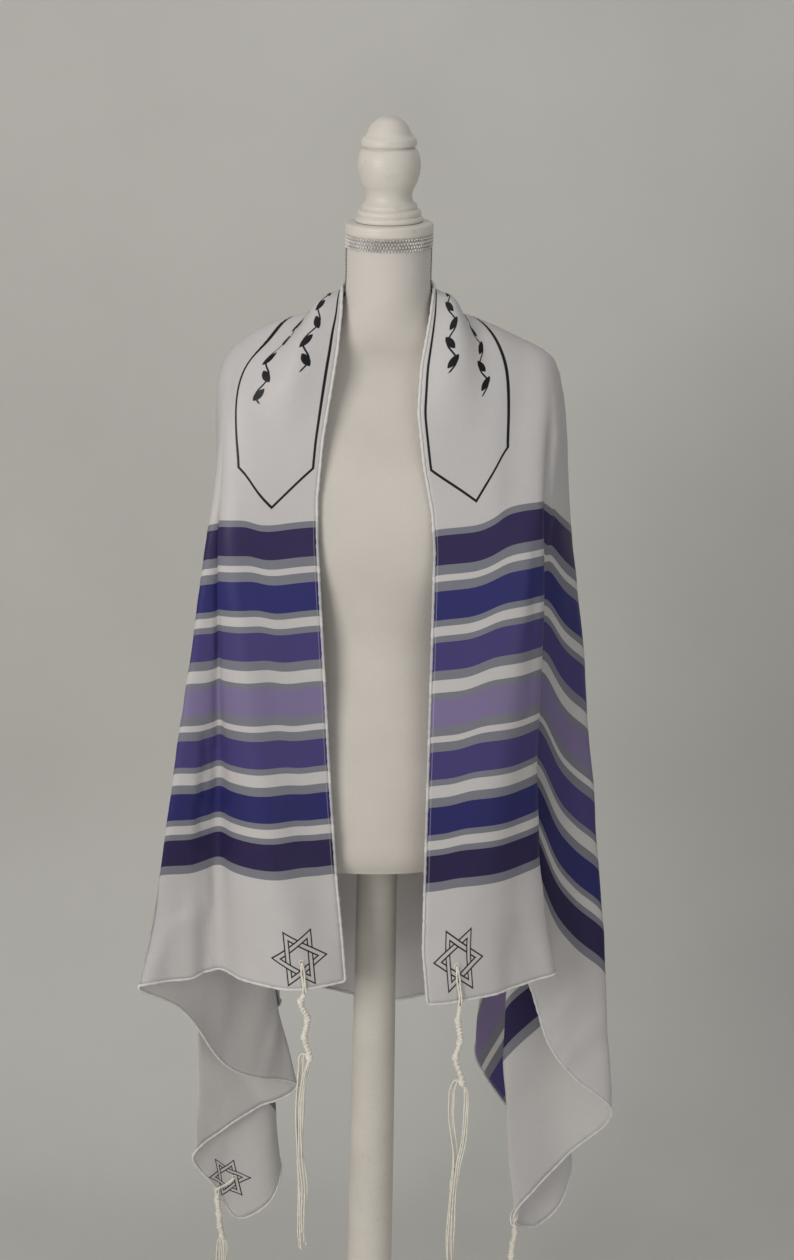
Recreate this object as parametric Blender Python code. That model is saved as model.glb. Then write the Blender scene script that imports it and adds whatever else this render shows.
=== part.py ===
"""Prayer shawl (tallit) worn like a cape on a limbless dress form with a turned stand.

The shawl is one rectangular cloth. Its neck edge runs round the back of the neck and down
both fronts, so the two short ends become the front hems, and the far corners hang low at the
sides, where the cloth folds back and forth before it reaches the back panel. The cloth is
worked out from its cut and from one row for each fold. Everything is in metres, +Z up, the
front faces -Y, and the origin is on the floor under the neck.
"""

import math

import bmesh
import bpy
import numpy as np

for old in list(bpy.data.objects):
    bpy.data.objects.remove(old, do_unlink=True)

# ---------------------------------------------------------------- cloth: named sizes
CLOTH_LENGTH = 1.96  # along the neck edge
CLOTH_WIDTH = 1.05  # from the neck edge to the far edge
WALL = 0.0012  # modelled wall of the silk
SEAM_GAP = 0.0003  # half of the gap between two stretches
HALF = CLOTH_LENGTH / 2
FRONT_FALL = 0.108  # how far the front stands from the shoulder line
BACK_FALL = 0.112
SIDE_FALL = 0.012
BACK_NECK_DEPTH = 0.0585
BACK_NECK_RISE = 0.004
SHOULDER_PART = 0.0009  # front and back stand this far either side of the shoulder line
FOLD_REACH = 0.22  # folds narrower than this open only below the shoulder

# Shoulder line under the cloth's top, from the side of the neck to the shoulder tip. s and t
# say which point of the flat cloth lies there, from the centre back and from the neck edge.
RIDGE_COLUMNS = ("x", "z", "s", "t")
RIDGE = {
    "right": [
        (0.0525, 1.6365, 0.078, 0.000),
        (0.064, 1.6255, 0.094, 0.040),
        (0.080, 1.609, 0.116, 0.082),
        (0.102, 1.601, 0.136, 0.104),
        (0.122, 1.592, 0.153, 0.112),
        (0.148, 1.576, 0.174, 0.122),
        (0.177, 1.563, 0.192, 0.140),
        (0.189, 1.557, 0.200, 0.149),
        (0.1925, 1.5549, 0.1945, 0.1518), (0.1935, 1.5543, 0.1965, 0.1526), (0.1955, 1.553, 0.2115, 0.1543),
        (0.200, 1.550, 0.223, 0.158),
    ],
    "left": [
        (0.0545, 1.6365, 0.084, 0.000),
        (0.066, 1.628, 0.090, 0.036),
        (0.085, 1.613, 0.100, 0.074),
        (0.104, 1.605, 0.108, 0.096),
        (0.128, 1.600, 0.121, 0.107),
        (0.153, 1.589, 0.134, 0.114),
        (0.177, 1.571, 0.152, 0.120),
        (0.194, 1.552, 0.166, 0.126),
    ],
}

# One row for each fold or bend of the lower edge. "edge" is end for the short end of the
# cloth, whose distance runs from the neck edge, or far for the far long edge, whose distance
# runs from the corner. x (outwards), y and z are where that point hangs. "turn" is the
# direction in which the column leaves the shoulder: -90 front, 0 side, 90 back. "ridge" is
# where it starts, 0 at the neck and 1 at the shoulder tip. belly_x and belly_y bow the
# column between its ends. "opens" is how far down the column its fold begins to open.
FOLD_COLUMNS = ("name", "edge", "distance", "x", "y", "z", "turn", "ridge", "belly_x", "belly_y", "opens")
FOLDS = {
    "right": [
        ("inner", "end", 0.000, 0.046, -0.120, 0.776, -90, 0.00, 0.000, 0.000, 0.02),
        ("edge_a", "end", 0.020, 0.0635, -0.1160, 0.775, -90, 0.68, 0.000, -0.002, 0.02),
        ("front_a", "end", 0.045, 0.086, -0.108, 0.7755, -90, 0.80, 0.000, -0.004, 0.02),
        ("front_b", "end", 0.115, 0.146, -0.080, 0.778, -86, 0.865, 0.000, 0.002, 0.02),
        ("edge_fold", "end", 0.185, 0.206, -0.044, 0.783, -66, 0.890, -0.018, 0.000, 0.12),
        ("under", "end", 0.228, 0.184, -0.012, 0.776, -62, 0.900, -0.017, 0.000, 0.12),
        ("deep_fold", "end", 0.360, 0.108, 0.044, 0.758, -50, 0.925, 0.010, -0.014, 0.12),
        ("side_a", "end", 0.560, 0.177, 0.024, 0.738, -36, 0.955, 0.000, 0.000, 0.12),
        ("side_b", "end", 0.645, 0.205, 0.029, 0.648, -24, 0.970, 0.004, 0.000, 0.02),
        ("side_c", "end", 0.720, 0.238, 0.038, 0.596, -12, 0.985, 0.006, 0.000, 0.02),
        ("outer_fold", "end", 0.800, 0.291, 0.060, 0.533, 0, 1.000, 0.006, 0.000, 0.02),
        ("tail_a", "end", 0.905, 0.233, 0.110, 0.435, 14, 0.988, -0.016, 0.006, 0.02),
        ("tail_fold", "end", 1.000, 0.166, 0.100, 0.347, 26, 0.976, -0.030, 0.008, 0.02),
        ("corner", "far", 0.000, 0.196, 0.127, 0.322, 33, 0.969, -0.020, 0.012, 0.02),
        ("tail_b", "far", 0.060, 0.232, 0.145, 0.345, 40, 0.962, 0.000, 0.010, 0.02),
        ("hind_fold", "far", 0.120, 0.249, 0.163, 0.395, 48, 0.954, 0.000, 0.006, 0.02),
        ("hind_a", "far", 0.290, 0.155, 0.186, 0.480, 61, 0.930, 0.000, 0.000, 0.02),
        ("hind_b", "far", 0.370, 0.116, 0.204, 0.540, 68, 0.915, 0.000, 0.000, 0.02),
        ("back_fold", "far", 0.570, 0.228, 0.232, 0.645, 77, 0.885, 0.000, 0.000, 0.02),
        ("back_a", "far", 0.785, 0.160, 0.250, 0.640, 87, 0.800, 0.000, 0.000, 0.02),
        ("back_b", "far", 0.885, 0.085, 0.216, 0.636, 90, 0.00, 0.000, 0.000, 0.02),
        ("centre", "far", 0.980, 0.000, 0.190, 0.632, 90, 0.00, 0.000, 0.000, 0.02),
    ],
    "left": [
        ("inner", "end", 0.000, 0.054, -0.100, 0.797, -90, 0.00, 0.000, 0.000, 0.02),
        ("edge_a", "end", 0.024, 0.0775, -0.1090, 0.796, -90, 0.68, 0.000, -0.002, 0.02),
        ("front_a", "end", 0.055, 0.108, -0.119, 0.795, -90, 0.82, 0.000, -0.004, 0.02),
        ("front_b", "end", 0.130, 0.180, -0.086, 0.793, -86, 0.88, 0.000, 0.000, 0.02),
        ("recess", "end", 0.175, 0.214, -0.048, 0.789, -80, 0.90, 0.000, 0.002, 0.02),
        ("front_c", "end", 0.225, 0.250, -0.062, 0.783, -72, 0.92, 0.000, 0.000, 0.02),
        ("edge_fold", "end", 0.295, 0.310, -0.086, 0.783, -58, 0.94, -0.004, 0.006, 0.02),
        ("inside_a", "end", 0.370, 0.266, -0.040, 0.734, -46, 0.955, 0.000, 0.006, 0.02),
        ("inside_b", "end", 0.490, 0.212, 0.030, 0.616, -32, 0.975, 0.000, 0.000, 0.02),
        ("deep_fold", "end", 0.660, 0.125, 0.110, 0.545, -14, 0.99, 0.012, -0.010, 0.02),
        ("lap", "end", 0.855, 0.223, 0.090, 0.490, 0, 1.000, 0.004, 0.000, 0.02),
        ("outer_fold", "end", 0.940, 0.262, 0.076, 0.452, 12, 0.990, 0.002, 0.000, 0.02),
        ("tail_a", "end", 0.993, 0.236, 0.098, 0.400, 20, 0.983, 0.000, 0.004, 0.02),
        ("corner", "far", 0.000, 0.206, 0.112, 0.343, 30, 0.973, 0.000, 0.006, 0.02),
        ("tail_b", "far", 0.050, 0.163, 0.124, 0.362, 38, 0.965, 0.000, 0.006, 0.02),
        ("hind_fold", "far", 0.095, 0.150, 0.142, 0.400, 46, 0.957, 0.000, 0.006, 0.02),
        ("hind_a", "far", 0.200, 0.212, 0.170, 0.490, 56, 0.942, 0.000, 0.004, 0.02),
        ("hind_b", "far", 0.290, 0.258, 0.192, 0.545, 63, 0.928, 0.000, 0.000, 0.02),
        ("back_fold", "far", 0.480, 0.150, 0.212, 0.618, 71, 0.905, 0.000, 0.000, 0.02),
        ("back_c", "far", 0.650, 0.222, 0.242, 0.646, 79, 0.875, 0.000, 0.000, 0.02),
        ("back_a", "far", 0.785, 0.160, 0.252, 0.640, 87, 0.800, 0.000, 0.000, 0.02),
        ("back_b", "far", 0.885, 0.085, 0.218, 0.636, 90, 0.00, 0.000, 0.000, 0.02),
        ("centre", "far", 0.980, 0.000, 0.190, 0.632, 90, 0.00, 0.000, 0.000, 0.02),
    ],
}

# The front panels hang flat beside their inner edge: this much sideways for each unit of
# cloth, from FLAT_FROM of the way down the columns, as far as the two distances from the edge.
FLAT_SPREAD = {"right": 1.02, "left": 0.97}
FLAT_FROM = 0.16
FLAT_ENDS = {"right": (0.04, 0.125), "left": (0.10, 0.175)}
# The left collar spreads below the shoulder before it narrows again: this much further out
# at the neckband's outer line, at that fraction down the columns, fading out by COLLAR_FADE.
COLLAR_SPREAD = {
    "right": [(0, 0), (1, 0)],
    "left": [(0, 0), (0.035, 0), (0.05, 0.002), (0.06, 0.007), (0.075, 0.0165), (0.10, 0.020), (0.12, 0.019), (0.143, 0.016), (0.17, 0.011), (0.20, 0.0035), (0.22, 0), (1, 0)],
}
COLLAR_FADE = [(0, 0), (0.09, 1), (0.102, 1), (0.112, 0.65), (0.122, 0.2), (0.13, 0)]
# The front inner edge, sideways from the straight line between its two ends, and how far
# into the panel that shift reaches.
EDGE_REACH = {"right": 0.05, "left": 0.16}
EDGE_COLUMNS = ("fraction", "outwards")
INNER_EDGE = {
    "right": [(0, 0), (0.05, -0.005), (0.12, -0.015), (0.18, -0.018), (0.25, -0.011), (0.31, -0.001), (0.36, 0.002), (0.5, 0.0), (0.75, -0.004), (0.92, -0.006), (1, 0)],
    "left": [(0, 0), (0.05, 0.0), (0.1, 0.004), (0.16, 0.013), (0.22, 0.022), (0.30, 0.029), (0.36, 0.029), (0.5, 0.024), (0.7, 0.017), (0.85, 0.010), (0.92, 0.005), (1, 0)],
}


# ---------------------------------------------------------------- cloth: its shape
def edge_distance(row):
    return row[2] if row[1] == "end" else CLOTH_WIDTH + row[2]


def through(at, knots, values):
    """A smooth curve through the rows, with tangents taken from their neighbours."""
    knots, values = np.asarray(knots, float), np.asarray(values, float)
    step = np.diff(knots)
    slope = np.diff(values, axis=0) / step[:, None]
    tangent = np.zeros_like(values)
    tangent[1:-1] = (slope[:-1] * step[1:, None] + slope[1:] * step[:-1, None]) / (step[:-1] + step[1:])[:, None]
    tangent[0], tangent[-1] = slope[0], slope[-1]
    i = np.clip(np.searchsorted(knots, at, side="right") - 1, 0, len(knots) - 2)
    q = ((at - knots[i]) / step[i])[:, None]
    h = step[i][:, None]
    return (
        (2 * q**3 - 3 * q**2 + 1) * values[i]
        + (q**3 - 2 * q**2 + q) * h * tangent[i]
        + (3 * q**2 - 2 * q**3) * values[i + 1]
        + (q**3 - q**2) * h * tangent[i + 1]
    )


def growth(f):
    """How a column leaves the shoulder: slowly at first, full at the lower edge."""
    return 1.15 * f * f / (f + 0.15)


def opening(f, opens):
    """How a fold opens down its column: shut over the shoulder, then as the column spreads."""
    q = np.clip((f[None, :] - opens[:, None]) / 0.30, 0, 1)
    return growth(f)[None, :] * q * q * (3 - 2 * q)


def without_folds(values, at, knots):
    """The lower edge's rows smoothed along the edge, which leaves out the folds."""
    fine = np.linspace(knots[0], knots[-1], 400)
    wide = through(fine, knots, values)
    weight = np.exp(-(((at[:, None] - fine[None, :]) / FOLD_REACH) ** 2))
    mirror = np.exp(-(((at[:, None] - (2 * knots[-1] - fine[None, :])) / FOLD_REACH) ** 2))
    flipped = wide * np.array([-1.0, 1.0])
    total = (weight[..., None] * wide[None] + mirror[..., None] * flipped[None]).sum(1)
    return total / (weight + mirror).sum(1)[:, None]


def foot_inner(rows):
    return rows[0][3:6]


def shawl(side, u, f):
    """Points of the cloth's middle face. u is the distance along the lower edge from the
    front inner corner, f runs down each column from 0 at the shoulder to 1 at the edge."""
    rows, u, f = FOLDS[side], np.asarray(u, float), np.asarray(f, float)
    knots = [edge_distance(r) for r in rows]
    # Past the centre back the other side begins: one mirrored row carries the curve on.
    far_knots = [*knots, 2 * knots[-1] - knots[-2]]
    feet = [r[3:6] for r in rows]
    feet.append((-feet[-2][0], feet[-2][1], feet[-2][2]))
    foot = through(u, far_knots, feet)
    plain = without_folds([r[:2] for r in feet[:-1]], u, knots)
    turn = np.radians(np.clip(through(u, knots, [[r[6]] for r in rows])[:, 0], -90, 90))
    ridge = np.interp(u, knots, [r[7] for r in rows])
    belly = through(u, knots, [r[8:10] for r in rows])
    line = np.array(RIDGE[side])
    round_neck = knots[-2]  # from here on the column hangs from the back of the neck
    opens = np.interp(u, knots, [r[10] for r in rows])
    x_line = line[0, 0] + (line[-1, 0] - line[0, 0]) * ridge
    z0 = np.interp(x_line, line[:, 0], line[:, 1])
    angle = np.clip((u - round_neck) / (knots[-1] - round_neck), 0, 1) * math.pi / 2
    x0 = x_line * np.cos(angle)
    y0 = BACK_NECK_DEPTH * np.sin(angle) + SHOULDER_PART * np.clip(turn / 0.15, -1, 1) * np.cos(angle)
    z0 = z0 + BACK_NECK_RISE * np.sin(angle)
    s_end = np.where(u < CLOTH_WIDTH, HALF, HALF - (u - CLOTH_WIDTH))
    t_end = np.minimum(u, CLOTH_WIDTH)
    s_top = np.where(u < round_neck, np.interp(x_line, line[:, 0], line[:, 2]), HALF - (u - CLOTH_WIDTH))
    t_top = np.interp(x_line, line[:, 0], line[:, 3])
    fall = np.stack([SIDE_FALL * np.cos(turn), np.where(turn < 0, FRONT_FALL, BACK_FALL) * np.sin(turn) - y0], -1)
    start = np.stack([x0, y0], -1)
    reach = np.maximum(0.012, 1.05 * np.hypot(fall[:, 0], fall[:, 1]))
    length = np.hypot(s_end - s_top, t_end - t_top)

    def plan(fr):
        near = (1 - np.exp(-fr[None, :] * length[:, None] / reach[:, None]))[..., None]
        spread = growth(fr)[None, :, None] * (plain - start - fall)[:, None]
        fold = opening(fr, opens)[..., None] * (foot[:, :2] - plain)[:, None]
        bow = (6.75 * fr**2 * (1 - fr))[None, :, None] * belly[:, None]
        return start[:, None] + near * fall[:, None] + spread + fold + bow

    xy = plan(f)
    edge = np.array(INNER_EDGE[side])
    xy[..., 0] += np.interp(f, edge[:, 0], edge[:, 1])[None, :] * np.where(u < 0.4, np.exp(-((u / EDGE_REACH[side]) ** 4)), 0)[:, None]
    near_end, far_end = FLAT_ENDS[side]
    flat = np.clip((far_end - u) / (far_end - near_end), 0, 1)
    flat = (flat * flat * (3 - 2 * flat))[:, None] * (1 - np.clip(1 - f / FLAT_FROM, 0, 1) ** 2)[None, :]
    inner = line[0, 0] + (foot_inner(rows)[0] - line[0, 0]) * growth(f) + np.interp(f, edge[:, 0], edge[:, 1])
    across = t_top[:, None] + (t_end - t_top)[:, None] * f[None, :]
    xy[..., 0] += flat * (inner[None, :] + FLAT_SPREAD[side] * across - xy[..., 0])
    spread, fade = np.array(COLLAR_SPREAD[side]), np.array(COLLAR_FADE)
    xy[..., 0] += np.interp(f, spread[:, 0], spread[:, 1])[None, :] * np.interp(across, fade[:, 0], fade[:, 1])
    fine = np.linspace(0, 1, 161)
    steps = np.linalg.norm(np.diff(plan(fine), axis=1), axis=2) / (np.diff(fine)[None] * length[:, None])
    drop = np.sqrt(np.maximum(0.03, 1 - np.minimum(steps, 1) ** 2))
    drop = np.concatenate([np.zeros((len(u), 1)), np.cumsum(drop, 1)], 1)
    drop /= drop[:, -1:]
    z = np.stack([z0[i] - (z0[i] - foot[i, 2]) * np.interp(f, fine, drop[i]) for i in range(len(u))])
    sign = 1 if side == "right" else -1
    return np.stack([sign * xy[..., 0], xy[..., 1], z], -1)


# ---------------------------------------------------------------- materials
def material(name, colour, roughness, metallic=0.0):
    mat = bpy.data.materials.new(name)
    mat.use_nodes = True
    bsdf = mat.node_tree.nodes["Principled BSDF"]
    bsdf.inputs["Base Color"].default_value = (*colour, 1)
    bsdf.inputs["Roughness"].default_value = roughness
    bsdf.inputs["Metallic"].default_value = metallic
    mat.diffuse_color = (*colour, 1)
    return mat


SILK = material("silk", (0.72, 0.71, 0.72), 0.42)
THREAD = material("thread", (0.74, 0.70, 0.62), 0.8)
COVER = material("form_cover", (0.56, 0.51, 0.44), 0.85)
PAINT = material("painted_wood", (0.62, 0.60, 0.55), 0.45)
BRAID = material("braid", (0.30, 0.30, 0.31), 0.5, 0.3)


def add(name, mesh, mat, smooth=True):
    mesh.materials.append(mat)
    if smooth:
        mesh.shade_smooth()
        mesh.set_sharp_from_angle(angle=math.radians(40))
    obj = bpy.data.objects.new(name, mesh)
    bpy.context.scene.collection.objects.link(obj)
    return obj


def mesh_of(name, verts, faces):
    """The faces of each solid below run the same way round; if that is inwards, all turn."""
    mesh = bpy.data.meshes.new(name)
    mesh.from_pydata([tuple(v) for v in verts], [], faces)
    bm = bmesh.new()
    bm.from_mesh(mesh)
    if bm.calc_volume(signed=True) < 0:
        bmesh.ops.reverse_faces(bm, faces=bm.faces)
    bm.to_mesh(mesh)
    bm.free()
    return mesh


def wall_of(name, grid, before=None, after=None):
    """A closed wall about a grid of points, WALL thick and pulled in by SEAM_GAP all round.
    The columns before and after it, where it has neighbours, make their walls meet square."""
    wide = np.concatenate([v for v in (before, grid, after) if v is not None])
    du, dv = np.gradient(wide, axis=0), np.gradient(wide, axis=1)
    normal = np.cross(du, dv)
    normal /= np.maximum(np.linalg.norm(normal, axis=-1, keepdims=True), 1e-12)
    along = du / np.maximum(np.linalg.norm(du, axis=-1, keepdims=True), 1e-12)
    skip = 0 if before is None else len(before)
    normal, along = normal[skip : skip + len(grid)], along[skip : skip + len(grid)]
    down = dv[skip : skip + len(grid)]
    down = down / np.maximum(np.linalg.norm(down, axis=-1, keepdims=True), 1e-12)
    g = grid.copy()
    g[0] += along[0] * SEAM_GAP
    g[-1] -= along[-1] * SEAM_GAP
    g[:, 0] += down[:, 0] * SEAM_GAP
    nu, nv = g.shape[:2]
    verts = np.concatenate([(g + normal * WALL / 2).reshape(-1, 3), (g - normal * WALL / 2).reshape(-1, 3)])
    n = nu * nv

    def at(i, j, k=0):
        return k * n + i * nv + j

    faces = []
    for i in range(nu - 1):
        for j in range(nv - 1):
            faces.append((at(i, j), at(i + 1, j), at(i + 1, j + 1), at(i, j + 1)))
            faces.append((at(i, j, 1), at(i, j + 1, 1), at(i + 1, j + 1, 1), at(i + 1, j, 1)))
    for i in range(nu - 1):
        faces.append((at(i, 0), at(i, 0, 1), at(i + 1, 0, 1), at(i + 1, 0)))
        faces.append((at(i, nv - 1), at(i + 1, nv - 1), at(i + 1, nv - 1, 1), at(i, nv - 1, 1)))
    for j in range(nv - 1):
        faces.append((at(0, j), at(0, j + 1), at(0, j + 1, 1), at(0, j, 1)))
        faces.append((at(nu - 1, j), at(nu - 1, j, 1), at(nu - 1, j + 1, 1), at(nu - 1, j + 1)))
    return mesh_of(name, verts, faces)


# Stretches of the cloth that show, each its own piece: the rows between which it lies.
DOWN = np.array([0, 0.014, 0.032, 0.055, 0.085, 0.12, 0.165, 0.22, 0.29, 0.37, 0.46, 0.55, 0.64, 0.73, 0.82, 0.91, 1.0])
PER_ROW = 3
STRETCH_COLUMNS = ("piece", "side", "first", "last")
STRETCHES = [
    ("front_right", "right", "inner", "under"),
    ("pleat_right", "right", "under", "side_a"),
    ("side_right", "right", "side_a", "tail_a"),
    ("tail_right", "right", "tail_a", "hind_a"),
    ("hind_right", "right", "hind_a", "back_a"),
    ("front_left", "left", "inner", "inside_a"),
    ("inside_left", "left", "inside_a", "lap"),
    ("tail_left", "left", "lap", "hind_a"),
    ("hind_left", "left", "hind_a", "back_a"),
]


def columns_between(side, first, last):
    """Distances along the lower edge of the columns from one row to another, with one more
    column past each end that isn't the edge of the cloth."""
    knots = {r[0]: edge_distance(r) for r in FOLDS[side]}
    names = list(knots)
    chosen = names[names.index(first) : names.index(last) + 1]
    at = []
    for a, b in zip(chosen, chosen[1:]):
        at += list(np.linspace(knots[a], knots[b], PER_ROW, endpoint=False))
    return np.array(at + [knots[last]])


def neighbour(side, name, step):
    """The next column past a row, going on along the edge (+1) or back (-1)."""
    names = [r[0] for r in FOLDS[side]]
    knots = [edge_distance(r) for r in FOLDS[side]]
    i = names.index(name)
    if not 0 <= i + step < len(names):
        return None
    return shawl(side, [knots[i] + (knots[i + step] - knots[i]) / PER_ROW], DOWN)


for piece, side, first, last in STRETCHES:
    grid = shawl(side, columns_between(side, first, last), DOWN)
    add(piece, wall_of(piece, grid, neighbour(side, first, -1), neighbour(side, last, 1)), SILK)

right_back = shawl("right", columns_between("right", "back_a", "centre"), DOWN)
left_back = shawl("left", columns_between("left", "back_a", "centre"), DOWN)
centre = (right_back[-1:] + left_back[-1:]) / 2
grid = np.concatenate([right_back[:-1], centre, left_back[:-1][::-1]])
add("back", wall_of("back", grid, neighbour("right", "back_a", -1), neighbour("left", "back_a", -1)), SILK)

# ---------------------------------------------------------------- tassels
TASSEL_COLUMNS = ("name", "side", "edge_distance", "below_hem", "knots", "strands", "sway_x", "sway_y")
TASSELS = [
    ("front_right", "right", 0.043, 0.0022, 0.110, 0.278, -0.008, -0.004),
    ("front_left", "left", 0.043, 0.0022, 0.092, 0.272, -0.006, -0.004),
    ("back_right", "right", 1.000, 0.0045, 0.070, 0.240, -0.004, 0.004),
    ("back_left", "left", 0.997, 0.0080, 0.070, 0.250, 0.001, 0.004),
]
KNOT_DIAMETER = 0.0066
BUNDLE_DIAMETER = 0.0120


def tube(name, points, diameter, mat):
    curve = bpy.data.curves.new(name, "CURVE")
    curve.dimensions = "3D"
    curve.bevel_depth = diameter / 2
    curve.bevel_resolution = 2
    curve.use_fill_caps = True
    spline = curve.splines.new("POLY")
    spline.points.add(len(points) - 1)
    for p, q in zip(spline.points, points):
        p.co = (*q, 1)
    curve.materials.append(mat)
    obj = bpy.data.objects.new(name, curve)
    bpy.context.scene.collection.objects.link(obj)
    return obj


for name, side, at, below_hem, knots, strands, sway_x, sway_y in TASSELS:
    hem = shawl(side, [at], [1.0])[0, 0]
    top = hem - np.array([0, 0, below_hem])
    down = np.linspace(0, 1, 9)[:, None]
    middle = top + np.array([sway_x * 0.4, sway_y * 0.4, -knots])
    tube("tassel_knots_" + name, top + (middle - top) * down, KNOT_DIAMETER, THREAD)
    below = middle - np.array([0, 0, SEAM_GAP * 2])
    end = below + np.array([sway_x * 0.6, sway_y * 0.6, -strands])
    tube("tassel_strands_" + name, below + (end - below) * down, BUNDLE_DIAMETER, THREAD)

# ---------------------------------------------------------------- dress form
LEAN = 0.0202  # sideways shift for each metre below the neck cap
CAP_Z = 1.6940


def lean(z):
    return -LEAN * (CAP_Z - z) if z < CAP_Z else 0.0


BODY_COLUMNS = ("z", "half_width", "half_depth", "y_centre", "squareness")
BODY = [
    (0.930, 0.126, 0.088, 0.006, 2.2),
    (0.940, 0.136, 0.094, 0.006, 2.2),
    (0.985, 0.146, 0.099, 0.006, 2.2),
    (1.040, 0.147, 0.099, 0.005, 2.2),
    (1.110, 0.137, 0.093, 0.001, 2.1),
    (1.170, 0.122, 0.085, -0.002, 2.1),
    (1.220, 0.117, 0.082, -0.003, 2.1),
    (1.270, 0.123, 0.087, -0.004, 2.2),
    (1.330, 0.140, 0.096, -0.005, 2.3),
    (1.390, 0.152, 0.096, -0.004, 2.3),
    (1.440, 0.158, 0.087, 0.000, 2.4),
    (1.480, 0.166, 0.074, 0.002, 2.4),
    (1.510, 0.176, 0.060, 0.002, 2.4),
    (1.530, 0.178, 0.048, 0.002, 2.4),
    (1.545, 0.160, 0.041, 0.002, 2.3),
    (1.560, 0.126, 0.040, 0.001, 2.2),
    (1.575, 0.094, 0.043, 0.000, 2.1),
    (1.592, 0.069, 0.046, 0.000, 2.0),
    (1.612, 0.0545, 0.048, 0.000, 2.0),
    (1.640, 0.0495, 0.0485, 0.000, 2.0),
    (1.668, 0.0492, 0.0485, 0.000, 2.0),
    (1.6935, 0.0492, 0.0485, 0.000, 2.0),
]
ROUND = 32


def rings(sections):
    """A closed solid through level sections, flat at both ends."""
    verts, faces = [], []
    for z, hw, hd, yc, power in sections:
        for k in range(ROUND):
            a = 2 * math.pi * k / ROUND
            c, s = math.cos(a), math.sin(a)
            m = (abs(c) ** power + abs(s) ** power) ** (-1 / power)
            verts.append((lean(z) + hw * m * c, yc + hd * m * s, z))
    for r in range(len(sections) - 1):
        for k in range(ROUND):
            n = (k + 1) % ROUND
            faces.append((r * ROUND + k, r * ROUND + n, (r + 1) * ROUND + n, (r + 1) * ROUND + k))
    faces.append(tuple(range(ROUND))[::-1])
    faces.append(tuple((len(sections) - 1) * ROUND + k for k in range(ROUND)))
    return verts, faces


add("form_body", mesh_of("form_body", *rings(BODY)), COVER)

BRAID_TOP, BRAID_BOTTOM, BRAID_THICK = 1.6932, 1.6770, 0.0014


def ring_band(name, inner_x, inner_y, thick, z0, z1, mat):
    verts, faces = [], []
    for z, grow in ((z0, 0), (z1, 0), (z1, thick), (z0, thick)):
        for k in range(ROUND):
            a = 2 * math.pi * k / ROUND
            verts.append((lean(z) + (inner_x + grow) * math.cos(a), (inner_y + grow) * math.sin(a), z))
    for r in range(4):
        for k in range(ROUND):
            n, q = (k + 1) % ROUND, (r + 1) % 4
            faces.append((r * ROUND + k, q * ROUND + k, q * ROUND + n, r * ROUND + n))
    return add(name, mesh_of(name, verts, faces), mat)


ring_band("neck_braid", 0.0497, 0.0490, BRAID_THICK, BRAID_BOTTOM, BRAID_TOP, BRAID)


def turned(name, profile, x=0.0, steps=36, leaning=False):
    """A turned solid from its profile of (radius, height), bottom to top, closed on the axis."""
    verts, faces = [], []
    for r, z in profile:
        dx = lean(z) if leaning else x
        for k in range(steps):
            a = 2 * math.pi * k / steps
            verts.append((dx + r * math.cos(a), r * math.sin(a), z))
    for r in range(len(profile) - 1):
        for k in range(steps):
            n = (k + 1) % steps
            faces.append((r * steps + k, r * steps + n, (r + 1) * steps + n, (r + 1) * steps + k))
    faces.append(tuple(range(steps))[::-1])
    faces.append(tuple((len(profile) - 1) * steps + k for k in range(steps)))
    return add(name, mesh_of(name, verts, faces), PAINT)


PROFILE_COLUMNS = ("radius", "height")
CAP = [(0.0470, 1.6940), (0.0500, 1.6950), (0.0512, 1.6975), (0.0512, 1.7045), (0.0500, 1.7070), (0.0475, 1.7080)]
FINIAL = [
    (0.0384, 1.7084),
    (0.0392, 1.7105),
    (0.0392, 1.7140),
    (0.0378, 1.7165),
    (0.0360, 1.7178),
    (0.0370, 1.7196),
    (0.0366, 1.7225),
    (0.0340, 1.7248),
    (0.0318, 1.7258),
    (0.0322, 1.7285),
    (0.0300, 1.7315),
    (0.0270, 1.7365),
    (0.0268, 1.7430),
    (0.0305, 1.7530),
    (0.0340, 1.7620),
    (0.0360, 1.7710),
    (0.0362, 1.7790),
    (0.0345, 1.7870),
    (0.0318, 1.7930),
    (0.0298, 1.7955),
    (0.0312, 1.7985),
    (0.0318, 1.8035),
    (0.0305, 1.8110),
    (0.0270, 1.8190),
    (0.0205, 1.8255),
    (0.0120, 1.8290),
    (0.0040, 1.8302),
]
turned("neck_cap", CAP)
turned("finial", FINIAL)

POLE_TOP, BASE_RADIUS, BASE_HEIGHT = 0.9296, 0.180, 0.028
POLE = [
    (0.0300, BASE_HEIGHT + 0.0003),
    (0.0305, 0.060),
    (0.0290, 0.200),
    (0.0288, 0.350),
    (0.0284, 0.480),
    (0.0272, 0.650),
    (0.0255, 0.820),
    (0.0250, POLE_TOP),
]
BASE = [(0.176, 0.0), (BASE_RADIUS, 0.004), (BASE_RADIUS, 0.018), (0.174, 0.0245), (0.160, BASE_HEIGHT), (0.050, BASE_HEIGHT)]
turned("pole", POLE, leaning=True)
turned("base", BASE, x=lean(0.0), steps=48)
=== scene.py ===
"""Looks of the prayer shawl on its dress form: one draped cloth with woven stripes, hem,
corner stars and tassels, the covered form, its braid and the turned, painted stand."""

import math

import bmesh
import bpy
import numpy as np
from mathutils import Matrix, Vector


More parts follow.
